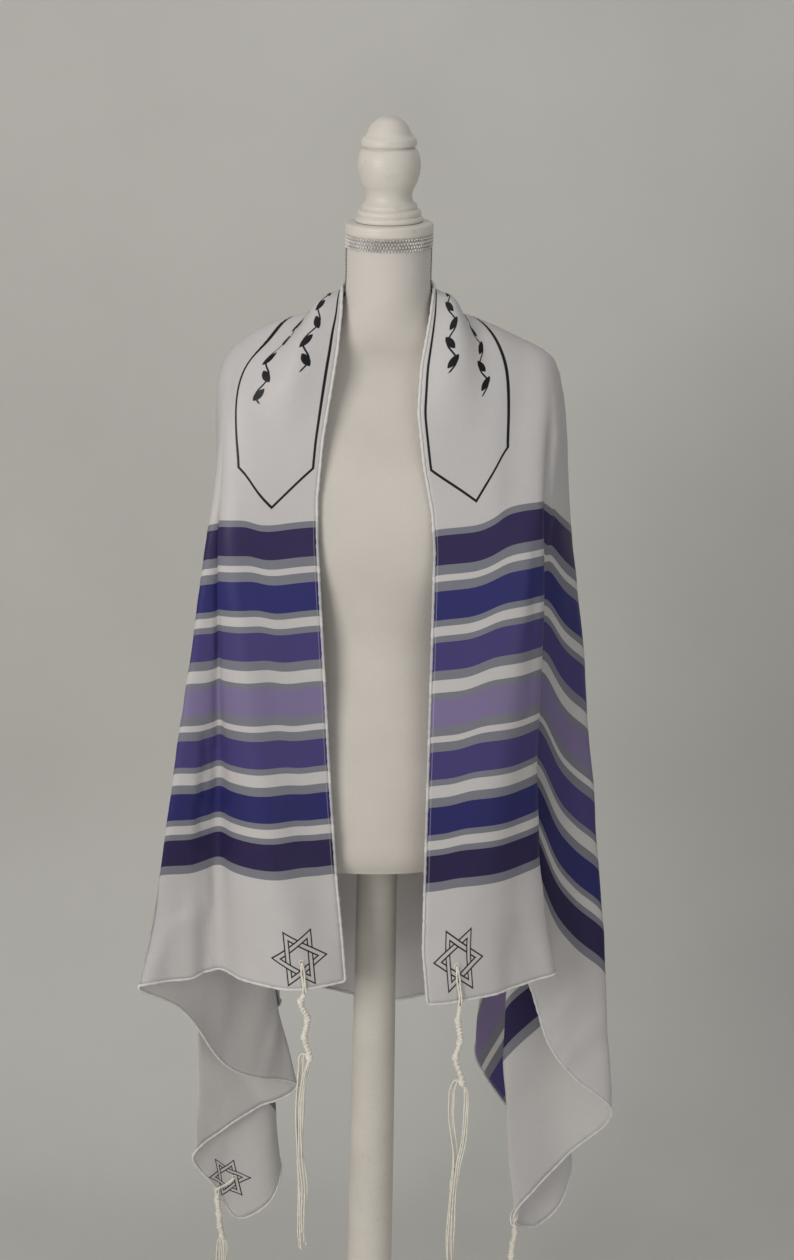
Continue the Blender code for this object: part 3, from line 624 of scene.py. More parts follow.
# ================================================================ the draped cloth
def lines_of(side, u):
    """Both ends of the columns in the cloth's own coordinates."""
    rows = FOLDS[side]
    knots = [edge_distance(r) for r in rows]
    line = np.array(RIDGE[side])
    ridge = np.interp(u, knots, [r[7] for r in rows])
    x_line = line[0, 0] + (line[-1, 0] - line[0, 0]) * ridge
    s_end = np.where(u < CLOTH_WIDTH, HALF, HALF - (u - CLOTH_WIDTH))
    t_end = np.minimum(u, CLOTH_WIDTH)
    s_top = np.where(u < knots[-2], np.interp(x_line, line[:, 0], line[:, 2]), HALF - (u - CLOTH_WIDTH))
    t_top = np.interp(x_line, line[:, 0], line[:, 3])
    return s_top, t_top, s_end, t_end


def column_at(side, s, t):
    """Which column passes a point of the cloth, and how far down it lies."""
    low, high = np.zeros_like(s), np.full_like(s, CLOTH_WIDTH + HALF)
    # beside the shoulder line only the columns of the point's own side of it are searched
    line = np.array(RIDGE[side])
    tip = edge_distance(max(FOLDS[side], key=lambda row: row[7]))
    near = t < line[-1, 3]
    front = s > np.interp(t, line[:, 3], line[:, 2])
    low, high = np.where(near & ~front, tip, low), np.where(near & front, tip, high)
    for _ in range(44):
        mid = (low + high) / 2
        a, b, c, d = lines_of(side, mid)
        before = (c - a) * (t - b) - (d - b) * (s - a) > 0
        low, high = np.where(before, mid, low), np.where(before, high, mid)
    u = (low + high) / 2
    a, b, c, d = lines_of(side, u)
    f = ((s - a) * (c - a) + (t - b) * (d - b)) / ((c - a) ** 2 + (d - b) ** 2)
    return u, np.clip(f, 0, 1)


def cubic(table, x):
    """Weights and rows for a smooth reading of a table at positions x."""
    i = np.clip(np.floor(x).astype(int), 0, table - 2)
    q = x - i
    w = np.stack([-0.5 * q + q**2 - 0.5 * q**3, 1 - 2.5 * q**2 + 1.5 * q**3, 0.5 * q + 2 * q**2 - 1.5 * q**3, -0.5 * q**2 + 0.5 * q**3], -1)
    k = np.clip(i[:, None] + np.arange(-1, 3)[None], 0, table - 1)
    return k, w


TABLES = {}


def cloth_at(s, t):
    """Points of the draped cloth for points (s, t) of the flat one. s runs from -0.98 at the
    left short end to 0.98 at the right one."""
    s, t = np.asarray(s, float).ravel(), np.asarray(t, float).ravel()
    out = np.zeros((len(s), 3))
    for side, mask in (("right", s >= 0), ("left", s < 0)):
        if not mask.any():
            continue
        if side not in TABLES:
            us = np.linspace(0, CLOTH_WIDTH + HALF, 801)
            fs = np.linspace(0, 1, 281)
            TABLES[side] = (us, fs, shawl(side, us, fs))
        us, fs, table = TABLES[side]
        u, f = column_at(side, np.abs(s[mask]), t[mask])
        ku, wu = cubic(len(us), u / us[-1] * (len(us) - 1))
        kf, wf = cubic(len(fs), f * (len(fs) - 1))
        part = np.zeros((mask.sum(), 3))
        for i in range(4):
            for j in range(4):
                part += table[ku[:, i], kf[:, j]] * (wu[:, i] * wf[:, j])[:, None]
        out[mask] = part
    return out


COLS, ROWS = 300, 160
gs = np.linspace(-HALF, HALF, COLS + 1)
gt = np.linspace(0, CLOTH_WIDTH, ROWS + 1)
S2, T2 = np.meshgrid(gs, gt, indexing="ij")
P = cloth_at(S2, T2).reshape(COLS + 1, ROWS + 1, 3)


def soften(grid, rounds, keep_edge=True, strength=0.5):
    g = grid.copy()
    for _ in range(rounds):
        m = (g[:-2, 1:-1] + g[2:, 1:-1] + g[1:-1, :-2] + g[1:-1, 2:]) / 4
        g[1:-1, 1:-1] += (m - g[1:-1, 1:-1]) * strength
    return g


def normals_of(g):
    du, dv = np.gradient(g, axis=0), np.gradient(g, axis=1)
    n = np.cross(du, dv)
    return n / np.maximum(np.linalg.norm(n, axis=-1, keepdims=True), 1e-12)


P = soften(P, 3)


def ripples(a, b, seed, waves, longest, shortest):
    """A smooth uneven field over (a, b): a sum of long waves in picked directions."""
    rng = np.random.default_rng(seed)
    out = np.zeros_like(a)
    for _ in range(waves):
        size = math.exp(rng.uniform(math.log(shortest), math.log(longest)))
        angle, phase = rng.uniform(0, TAU), rng.uniform(0, TAU)
        out += np.sin((a * math.cos(angle) + b * math.sin(angle)) * TAU / size + phase) * (size / longest)
    return out / math.sqrt(waves)


def ease(x, low, high):
    q = np.clip((x - low) / (high - low), 0, 1)
    return q * q * (3 - 2 * q)


# the cloth about the neck stands up in a soft roll that dies away down the chest
out_dir = normals_of(P)
flip = np.where((out_dir * (P - np.array([0.0, 0.0, 1.2]))).sum(-1) < 0, -1.0, 1.0)
out_dir = out_dir * flip[..., None]
A2_ = np.abs(S2)
roll = np.exp(-(((T2 - 0.040) / 0.023) ** 2)) * ease(A2_, 0.075, 0.12) * (1 - ease(A2_, 0.17, 0.29))
valley = np.exp(-(((T2 - 0.082 - 0.05 * (A2_ - 0.12)) / 0.016) ** 2)) * ease(A2_, 0.085, 0.13) * (1 - ease(A2_, 0.16, 0.25))
second = np.exp(-(((T2 - 0.135) / 0.022) ** 2)) * ease(A2_, 0.12, 0.18) * (1 - ease(A2_, 0.26, 0.40))
soft_folds = ripples(S2 * 0.55, T2, 11, 26, 0.26, 0.07)
fine_folds = ripples(S2 * 0.8, T2, 23, 30, 0.09, 0.03)
hanging_folds = ripples(S2 * 0.10, T2, 31, 16, 0.15, 0.05)
clear_of_form = ease(A2_, 0.30, 0.60)
shift = 0.0110 * roll - 0.0018 * valley + 0.0036 * second
shift += (0.0020 * soft_folds + 0.0006 * fine_folds) * clear_of_form
shift += 0.0019 * hanging_folds * ease(A2_, 0.35, 0.75)
shift += (0.0004 * soft_folds + 0.0003 * fine_folds) * (1 - clear_of_form)
# the main creases of the hanging ends: from the hem up, dying away at their second end
CREASE_COLUMNS = ("s_from", "t_from", "s_to", "t_to", "width", "height")
CREASES = [
    (-0.985, 0.249, -0.850, 0.240, 0.0115, 0.0024),
    (-0.985, 0.218, -0.860, 0.214, 0.0095, -0.0022),
    (-0.985, 0.191, -0.865, 0.192, 0.0090, 0.0019),
    (-0.985, 0.100, -0.900, 0.125, 0.0150, -0.0014),
    (-0.620, 0.205, -0.860, 0.188, 0.0120, 0.0014),
    (-0.300, 0.185, -0.520, 0.200, 0.0140, -0.0016),
    (0.985, 0.152, 0.870, 0.126, 0.0120, -0.0021),
    (0.985, 0.098, 0.900, 0.084, 0.0150, 0.0014),
    (0.930, 0.060, 0.800, 0.085, 0.0130, -0.0010),
    (0.300, 0.165, 0.480, 0.172, 0.0110, -0.0018),
    (0.360, 0.140, 0.560, 0.150, 0.0130, 0.0014),
    (0.985, 0.600, 0.860, 0.630, 0.0140, -0.0022),
    (0.985, 0.690, 0.850, 0.705, 0.0130, 0.0020),
    (0.985, 0.955, 0.880, 0.930, 0.0110, -0.0022),
    (0.950, 1.000, 0.860, 0.990, 0.0100, 0.0018),
    (-0.985, 0.560, -0.850, 0.580, 0.0140, -0.0020),
    (-0.985, 0.770, -0.860, 0.750, 0.0130, 0.0020),
    (-0.985, 0.985, -0.900, 0.930, 0.0090, -0.0024),
    (-0.985, 0.930, -0.890, 0.900, 0.0100, 0.0016),
    (-0.300, 1.052, -0.230, 0.800, 0.0220, 0.0026),
    (0.240, 1.052, 0.200, 0.760, 0.0240, -0.0026),
    (0.050, 1.052, 0.020, 0.850, 0.0200, 0.0020),
]
for s_from, t_from, s_to, t_to, width, height in CREASES:
    way = ((S2 - s_from) * (s_to - s_from) + (T2 - t_from) * (t_to - t_from)) / ((s_to - s_from) ** 2 + (t_to - t_from) ** 2)
    on = np.clip(way, 0, 1)
    off = np.hypot(S2 - s_from - on * (s_to - s_from), T2 - t_from - on * (t_to - t_from))
    shift += height * np.exp(-((off / width) ** 2)) * (1 - ease(way, 0.55, 1.0))
P = P + out_dir * shift[..., None]
P = soften(P, 1)

cloth_mesh = bpy.data.meshes.new("shawl_cloth")
verts = P.reshape(-1, 3)
idx = np.arange((COLS + 1) * (ROWS + 1)).reshape(COLS + 1, ROWS + 1)
quads = np.stack([idx[:-1, :-1], idx[1:, :-1], idx[1:, 1:], idx[:-1, 1:]], -1).reshape(-1, 4)
cloth_mesh.from_pydata(verts.tolist(), [], quads.tolist())
uv = cloth_mesh.uv_layers.new(name="cloth")
coords = np.stack([S2.ravel() + HALF, T2.ravel()], -1)
loops = np.empty(len(cloth_mesh.loops), np.int32)
cloth_mesh.loops.foreach_get("vertex_index", loops)
uv.data.foreach_set("uv", coords[loops].astype(np.float32).ravel())
cloth_mesh.shade_smooth()
shawl_cloth = bpy.data.objects.new("shawl_cloth", cloth_mesh)
scene.collection.objects.link(shawl_cloth)
SILK = silk_material()
cloth_mesh.materials.append(SILK)
thick = shawl_cloth.modifiers.new("thickness", "SOLIDIFY")
thick.thickness = 0.0005
thick.offset = 0.0
CLOTH_NODES = ["front_right", "pleat_right", "side_right", "tail_right", "hind_right", "front_left", "inside_left", "tail_left", "hind_left", "back"]
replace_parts(shawl_cloth, *CLOTH_NODES)
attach(shawl_cloth, "root")


# ================================================================ mesh helpers
def mesh_object(name, verts, faces, mat, smooth=True, uvs=None):
    mesh = bpy.data.meshes.new(name)
    mesh.from_pydata([tuple(v) for v in verts], [], [tuple(f) for f in faces])
    if uvs is not None:
        layer = mesh.uv_layers.new(name="cloth")
        loops = np.empty(len(mesh.loops), np.int32)
        mesh.loops.foreach_get("vertex_index", loops)
        layer.data.foreach_set("uv", np.asarray(uvs, np.float32)[loops].ravel())
    mesh.materials.append(mat)
    if smooth:
        mesh.shade_smooth()
    obj = bpy.data.objects.new(name, mesh)
    scene.collection.objects.link(obj)
    return obj


def frames_along(points, closed=False):
    """Two directions square to a path at each point, turning as little as possible."""
    p = np.asarray(points, float)
    if closed:
        tan = np.roll(p, -1, 0) - np.roll(p, 1, 0)
    else:
        tan = np.gradient(p, axis=0)
    tan /= np.maximum(np.linalg.norm(tan, axis=1, keepdims=True), 1e-12)
    a = np.zeros_like(p)
    first = np.cross(tan[0], (0.0, 0.0, 1.0))
    if np.linalg.norm(first) < 1e-3:
        first = np.cross(tan[0], (1.0, 0.0, 0.0))
    a[0] = first / np.linalg.norm(first)
    for i in range(1, len(p)):
        v = a[i - 1] - tan[i] * (a[i - 1] @ tan[i])
        a[i] = v / np.linalg.norm(v)
    return tan, a, np.cross(tan, a)


def tube_mesh(points, radius, sides=8, closed=False, wobble=None, caps=True):
    """Vertices and faces of a tube. radius is a number or one for each point."""
    p = np.asarray(points, float)
    tan, a, b = frames_along(p, closed)
    r = np.broadcast_to(np.asarray(radius, float), (len(p),))
    ang = np.linspace(0, TAU, sides, endpoint=False)
    rr = r[:, None] * np.ones(sides)[None]
    if wobble is not None:
        rr = rr * wobble(np.arange(len(p))[:, None], ang[None, :])
    v = p[:, None] + rr[..., None] * (np.cos(ang)[None, :, None] * a[:, None] + np.sin(ang)[None, :, None] * b[:, None])
    n = len(p)
    faces = []
    for i in range(n if closed else n - 1):
        j = (i + 1) % n
        for k in range(sides):
            m = (k + 1) % sides
            faces.append((i * sides + k, i * sides + m, j * sides + m, j * sides + k))
    if caps and not closed:
        faces.append(tuple(range(sides))[::-1])
        faces.append(tuple((n - 1) * sides + k for k in range(sides)))
    return v.reshape(-1, 3), faces


# ================================================================ rolled hem
per = []
for a0, a1, n in (((-HALF, 0), (HALF, 0), 560), ((HALF, 0), (HALF, CLOTH_WIDTH), 300), ((HALF, CLOTH_WIDTH), (-HALF, CLOTH_WIDTH), 560), ((-HALF, CLOTH_WIDTH), (-HALF, 0), 300)):
    q = np.linspace(0, 1, n, endpoint=False)[:, None]
    per.append(np.array(a0) + (np.array(a1) - np.array(a0)) * q)
per = np.concatenate(per)


def grid_point(s, t):
    """The finished cloth's middle at (s, t), read from its mesh."""
    x = (np.asarray(s) + HALF) / CLOTH_LENGTH * COLS
    y = np.asarray(t) / CLOTH_WIDTH * ROWS
    i, j = np.clip(np.floor(x).astype(int), 0, COLS - 1), np.clip(np.floor(y).astype(int), 0, ROWS - 1)
    a, b = (x - i)[..., None], (y - j)[..., None]
    return (P[i, j] * (1 - a) + P[i + 1, j] * a) * (1 - b) + (P[i, j + 1] * (1 - a) + P[i + 1, j + 1] * a) * b


edge_pts = grid_point(per[:, 0], per[:, 1])
edge_pts = (np.roll(edge_pts, 1, 0) + edge_pts * 2 + np.roll(edge_pts, -1, 0)) / 4
pucker = 1 + 0.24 * np.sin(np.arange(len(per)) * 1.9) * np.sin(np.arange(len(per)) * 0.31 + 1) + 0.08 * np.sin(np.arange(len(per)) * 0.83)
hv, hf = tube_mesh(edge_pts, 0.0017 * pucker, 8, closed=True)
hem_uv = np.repeat(np.stack([per[:, 0] * 0.9985 + HALF, np.clip(per[:, 1], 0.0015, CLOTH_WIDTH - 0.0015)], -1), 8, axis=0)
HEM = silk_material(hem=True)
hem = mesh_object("shawl_hem", hv, hf, HEM, uvs=hem_uv)
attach(hem, "root")

# ================================================================ materials of the form and stand
def cover_material():
    """Stretched cream jersey: fine ribs, a little mottled."""
    T = Tree("form_cover_cloth")
    co = T.coords()
    cloudy = T.noise(co, 9, 5.0).outputs[0]
    fleck = T.noise(co, 900, 2.0).outputs[0]
    rib = T.noise(T.mapped(co, (2600, 2600, 420)), 1.0, 1.0).outputs[0]
    col = T.ramp(T.val(cloudy) * 0.6 + T.val(fleck) * 0.4, [(0.30, srgb("#c5bfb7")), (0.55, srgb("#cfcac2")), (0.75, srgb("#d6d1ca"))])
    b = T.principled(roughness=0.88, Specular_IOR_Level=0.25, Sheen_Weight=0.15, Sheen_Roughness=0.6)
    T.link(col, b.inputs["Base Color"])
    normal = T.bump(cloudy, 0.15, 0.003)
    T.link(T.bump(T.val(rib) * 0.7 + T.val(fleck) * 0.3, 0.35, 0.0004, normal), b.inputs["Normal"])
    return T.finish(b.outputs[0])


def paint_material():
    """Off-white paint on turned wood: brushed round, with small rubbed places."""
    T = Tree("painted_wood_white")
    co = T.coords()
    cloudy = T.noise(co, 14, 5.0).outputs[0]
    rubbed = T.ramp(T.noise(co, 38, 7.0, 0.62).outputs[0], [(0.60, (0, 0, 0)), (0.72, (1, 1, 1))])
    lines = T.noise(T.mapped(co, (30, 30, 900)), 1.0, 3.0).outputs[0]
    col = T.ramp(T.val(cloudy) * 0.7 + T.val(lines) * 0.3, [(0.3, srgb("#cbc6bd")), (0.6, srgb("#d6d1c8")), (0.8, srgb("#dcd8cf"))])
    col = T.mix(T.val(rubbed) * 0.35, col, srgb("#b3aa9c"))
    b = T.principled(roughness=0.42, Specular_IOR_Level=0.4)
    T.link(col, b.inputs["Base Color"])
    T.link((T.val(cloudy) * 0.2 + 0.34), b.inputs["Roughness"])
    T.link(T.bump(T.val(lines) * 0.6 + T.val(cloudy) * 0.4, 0.25, 0.0006), b.inputs["Normal"])
    return T.finish(b.outputs[0])


def yarn_material(name, dark, light, rough, scale):
    """Spun yarn: fine fibres, lighter and darker along the thread."""
    T = Tree(name)
    co = T.coords()
    fibre = T.noise(T.mapped(co, (scale, scale, scale * 0.35)), 1.0, 3.0).outputs[0]
    cloudy = T.noise(co, 45, 3.0).outputs[0]
    col = T.ramp(T.val(fibre) * 0.6 + T.val(cloudy) * 0.4, [(0.30, dark), (0.65, light)])
    b = T.principled(roughness=rough, Specular_IOR_Level=0.2, Sheen_Weight=0.25, Sheen_Roughness=0.5)
    T.link(col, b.inputs["Base Color"])
    T.link(T.bump(fibre, 0.5, 0.0004), b.inputs["Normal"])
    return T.finish(b.outputs[0])


COVER = cover_material()
PAINT = paint_material()
BRAID = yarn_material("braid_silver", srgb("#8f8b86"), srgb("#ece9e4"), 0.5, 1500)
PIPING = yarn_material("piping_grey", srgb("#4e4c4b"), srgb("#8b8884"), 0.6, 1200)
THREAD = yarn_material("tassel_thread", srgb("#d6d1c4"), srgb("#f0ece1"), 0.85, 1400)


# ================================================================ dress form
LEAN, CAP_Z = 0.0202, 1.6940


def lean(z):
    z = np.asarray(z, float)
    return np.where(z < CAP_Z, -LEAN * (CAP_Z - z), 0.0)


# level sections of the padded form: height, half width, half depth, centre, squareness
BODY = [
    (0.930, 0.126, 0.088, 0.006, 2.2),
    (0.940, 0.136, 0.094, 0.006, 2.2),
    (0.985, 0.146, 0.099, 0.006, 2.2),
    (1.040, 0.147, 0.099, 0.005, 2.2),
    (1.110, 0.137, 0.093, 0.001, 2.1),
    (1.170, 0.122, 0.085, -0.002, 2.1),
    (1.220, 0.117, 0.082, -0.003, 2.1),
    (1.270, 0.123, 0.087, -0.004, 2.2),
    (1.330, 0.140, 0.096, -0.005, 2.3),
    (1.390, 0.152, 0.096, -0.004, 2.3),
    (1.440, 0.158, 0.087, 0.000, 2.4),
    (1.480, 0.166, 0.074, 0.002, 2.4),
    (1.510, 0.176, 0.060, 0.002, 2.4),
    (1.530, 0.178, 0.048, 0.002, 2.4),
    (1.545, 0.160, 0.041, 0.002, 2.3),
    (1.560, 0.126, 0.040, 0.001, 2.2),
    (1.575, 0.094, 0.043, 0.000, 2.1),
    (1.592, 0.069, 0.046, 0.000, 2.0),
    (1.612, 0.0545, 0.048, 0.000, 2.0),
    (1.640, 0.0495, 0.0485, 0.000, 2.0),
    (1.668, 0.0492, 0.0485, 0.000, 2.0),
    (1.6935, 0.0492, 0.0485, 0.000, 2.0),
]
body_z = np.array([r[0] for r in BODY])
body_v = np.array([r[1:] for r in BODY])
BODY_IN = 0.0007  # the cover lies this far inside the sections, clear of the cloth


def section_at(z):
    return through(np.asarray(z, float), body_z, body_v)


def form_points(z, a):
    """Points of the cover at heights z and angles a, which broadcast."""
    v = section_at(np.asarray(z).ravel()).reshape(*np.shape(z), 4)
    c, s = np.cos(a), np.sin(a)
    power = v[..., 3]
    m = (np.abs(c) ** power + np.abs(s) ** power) ** (-1 / power)
    x = lean(z) + (v[..., 0] - BODY_IN) * m * c
    y = v[..., 2] + (v[..., 1] - BODY_IN) * m * s
    return np.stack([x, y, np.broadcast_to(z, x.shape)], -1)


RINGS, ROUND = 230, 120
zz = np.linspace(0.9325, 1.6932, RINGS)
aa = np.linspace(0, TAU, ROUND, endpoint=False)
Z2, A2 = np.meshgrid(zz, aa, indexing="ij")
grid = form_points(Z2, A2)
# the lower edge rolls under to a flat closing board
under = []
for k in range(1, 7):
    q = math.pi / 2 * k / 6
    base_ring = grid[0].copy()
    centre_pt = np.array([float(lean(0.93)), 0.006, 0.0])
    shrink = 1 - 0.045 * (1 - math.cos(q))
    base_ring[:, :2] = centre_pt[:2] + (base_ring[:, :2] - centre_pt[:2]) * shrink
    base_ring[:, 2] = 0.9325 - 0.0022 * math.sin(q)
    under.append(base_ring)
layers = [*under[::-1], *grid]
verts = np.concatenate(layers)
faces = []
for r in range(len(layers) - 1):
    for k in range(ROUND):
        n = (k + 1) % ROUND
        faces.append((r * ROUND + k, r * ROUND + n, (r + 1) * ROUND + n, (r + 1) * ROUND + k))
faces.append(tuple(range(ROUND))[::-1])
faces.append(tuple((len(layers) - 1) * ROUND + k for k in range(ROUND)))
cover = mesh_object("form_cover", verts, faces, COVER)
cover.data.set_sharp_from_angle(angle=math.radians(50))
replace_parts(cover, "form_body")
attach(cover, "root")


def turned_piece(name, profile, steps=112, x=None, mat=PAINT, close=40):
    """A turned piece from its (radius, height) profile, bottom to top."""
    pts, fcs = [], []
    ang = np.linspace(0, TAU, steps, endpoint=False)
    for r, z in profile:
        dx = float(lean(z)) if x is None else x
        for a in ang:
            pts.append((dx + r * math.cos(a), r * math.sin(a), z))
    for r in range(len(profile) - 1):
        for k in range(steps):
            n = (k + 1) % steps
            fcs.append((r * steps + k, r * steps + n, (r + 1) * steps + n, (r + 1) * steps + k))
    fcs.append(tuple(range(steps))[::-1])
    fcs.append(tuple((len(profile) - 1) * steps + k for k in range(steps)))
    o = mesh_object(name, pts, fcs, mat)
    o.data.set_sharp_from_angle(angle=math.radians(close))
    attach(o, "root")
    return o


def smooth_profile(rows, per=5):
    """Points through the rows of a profile, by a curve that doesn't overshoot."""
    rows = np.array(rows, float)
    run = np.concatenate([[0], np.cumsum(np.hypot(*np.diff(rows, axis=0).T))])
    at = np.concatenate([np.linspace(a, b, per, endpoint=False) for a, b in zip(run, run[1:])] + [[run[-1]]])
    return [tuple(p) for p in through(at, run, rows)]


disc = [(0.0460, 1.6941), (0.0485, 1.6943), (0.0486, 1.6969), (0.0500, 1.6973), (0.0507, 1.6980), (0.0511, 1.6991), (0.0512, 1.7006), (0.0512, 1.7068), (0.0509, 1.7083), (0.0502, 1.7093), (0.0490, 1.7099), (0.0455, 1.7106)]
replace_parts(turned_piece("neck_disc", disc), "neck_cap")
rings = [
    (0.0380, 1.7110), (0.0389, 1.7115), (0.0393, 1.7125), (0.0394, 1.7139), (0.0391, 1.7153), (0.0383, 1.7163), (0.0371, 1.7169),
    (0.0363, 1.7175), (0.0364, 1.7181), (0.0370, 1.7190), (0.0372, 1.7206), (0.0369, 1.7226), (0.0360, 1.7240), (0.0344, 1.7249), (0.0330, 1.7254),
    (0.0320, 1.7259), (0.0322, 1.7268), (0.0325, 1.7282), (0.0321, 1.7298), (0.0312, 1.7309), (0.0301, 1.7316),
]
stem_and_bulb = smooth_profile([(0.0294, 1.7322), (0.0277, 1.7348), (0.0267, 1.7384), (0.0268, 1.7428), (0.0284, 1.7480), (0.0314, 1.7536), (0.0343, 1.7620), (0.0361, 1.7708), (0.0363, 1.7780), (0.0349, 1.7862), (0.0322, 1.7922), (0.0296, 1.7951)], 4)
dome = [(0.0286, 1.7958), (0.0285, 1.7964), (0.0292, 1.7968), (0.0312, 1.7972), (0.0319, 1.7980), (0.0321, 1.7996)] + smooth_profile([(0.0320, 1.8018), (0.0312, 1.8046), (0.0291, 1.8070), (0.0269, 1.8090), (0.0255, 1.8116), (0.0238, 1.8154), (0.0209, 1.8202), (0.0168, 1.8246), (0.0112, 1.8282), (0.0054, 1.8298), (0.0012, 1.8302)], 4)
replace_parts(turned_piece("finial_turned", rings + stem_and_bulb + dome, close=32), "finial")
BASE_HEIGHT = 0.028
pole_profile = [(0.0300, BASE_HEIGHT + 0.0003), (0.0312, BASE_HEIGHT + 0.002), (0.0316, BASE_HEIGHT + 0.010), (0.0312, BASE_HEIGHT + 0.018), (0.0302, BASE_HEIGHT + 0.021)]
pole_profile += smooth_profile([(0.0300, 0.054), (0.0303, 0.075), (0.0296, 0.14), (0.0289, 0.25), (0.0288, 0.35), (0.0284, 0.48), (0.0272, 0.65), (0.0255, 0.82), (0.0250, 0.9294)], 8)
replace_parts(turned_piece("pole_turned", pole_profile), "pole")
base_profile = [(0.1745, 0.0), (0.1775, 0.0006), (0.1793, 0.0024), (0.1800, 0.0050), (0.1800, 0.0160), (0.1795, 0.0184), (0.1778, 0.0204), (0.1752, 0.0220), (0.1738, 0.0232), (0.1730, 0.0246), (0.1712, 0.0262), (0.1680, 0.0274), (0.1600, 0.0279), (0.0500, BASE_HEIGHT)]
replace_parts(turned_piece("base_turned", base_profile, steps=144, x=float(lean(0.0))), "base")


# ================================================================ braid and piping at the neck
def ball(centre, radius, rows=5, cols=8, squash=(1, 1, 1)):
    pts, fcs = [(0, 0, -1)], []
    for r in range(1, rows):
        th = math.pi * r / rows
        for c in range(cols):
            ph = TAU * c / cols
            pts.append((math.sin(th) * math.cos(ph), math.sin(th) * math.sin(ph), -math.cos(th)))
    pts.append((0, 0, 1))
    for c in range(cols):
        fcs.append((0, 1 + (c + 1) % cols, 1 + c))
    for r in range(rows - 2):
        for c in range(cols):
            a, b = 1 + r * cols + c, 1 + r * cols + (c + 1) % cols
            fcs.append((a, b, b + cols, a + cols))
    last = len(pts) - 1
    for c in range(cols):
        fcs.append((last, last - cols + c, last - cols + (c + 1) % cols))
    pts = np.array(pts) * np.array(squash) * radius + np.array(centre)
    return pts, fcs


def joined(parts):
    vs, fs, at = [], [], 0
    for v, f in parts:
        vs.append(np.asarray(v))
        fs += [tuple(i + at for i in face) for face in f]
        at += len(v)
    return np.concatenate(vs), fs


def neck_ring(z, out, a):
    v = section_at(np.array([z]))[0]
    return (float(lean(z)) + (v[0] - BODY_IN + out) * math.cos(a), (v[1] - BODY_IN + out) * math.sin(a), z)


parts = []
COUNT = 86
for row, (z, r, out) in enumerate(((1.6951, 0.00155, 0.0013), (1.6911, 0.00165, 0.0014), (1.6871, 0.00165, 0.0014), (1.6831, 0.00150, 0.0012))):
    for k in range(COUNT):
        a = TAU * (k + 0.5 * (row % 2)) / COUNT
        lift = 0.0003 * math.sin(k * 2.3 + row)
        parts.append(ball(neck_ring(z + lift, out, a), r, 5, 7))
for z, turn in ((1.6931, 1), (1.6891, -1), (1.6851, 1)):
    path = []
    for k in range(688):
        a = TAU * k / 688
        path.append(neck_ring(z + 0.0012 * math.sin(a * COUNT * turn), 0.0007 + 0.0004 * math.cos(a * COUNT), a))
    parts.append(tube_mesh(path, 0.0005, 5, closed=True))
bv, bf = joined(parts)
braid = mesh_object("neck_braid_woven", bv, bf, BRAID)
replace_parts(braid, "neck_braid")
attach(braid, "root")
parts = []
for a0 in (0.0, math.pi):
    heights = np.linspace(1.6815, 1.6325, 95)
    line = [neck_ring(z, 0.0009, a0) for z in heights]
    parts.append(tube_mesh(line, 0.0003, 5))
    for k in range(0, len(line), 5):
        parts.append(ball(line[k], 0.00105, 5, 7))
pv, pf = joined(parts)
piping = mesh_object("side_piping", pv, pf, PIPING)
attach(piping, "root")

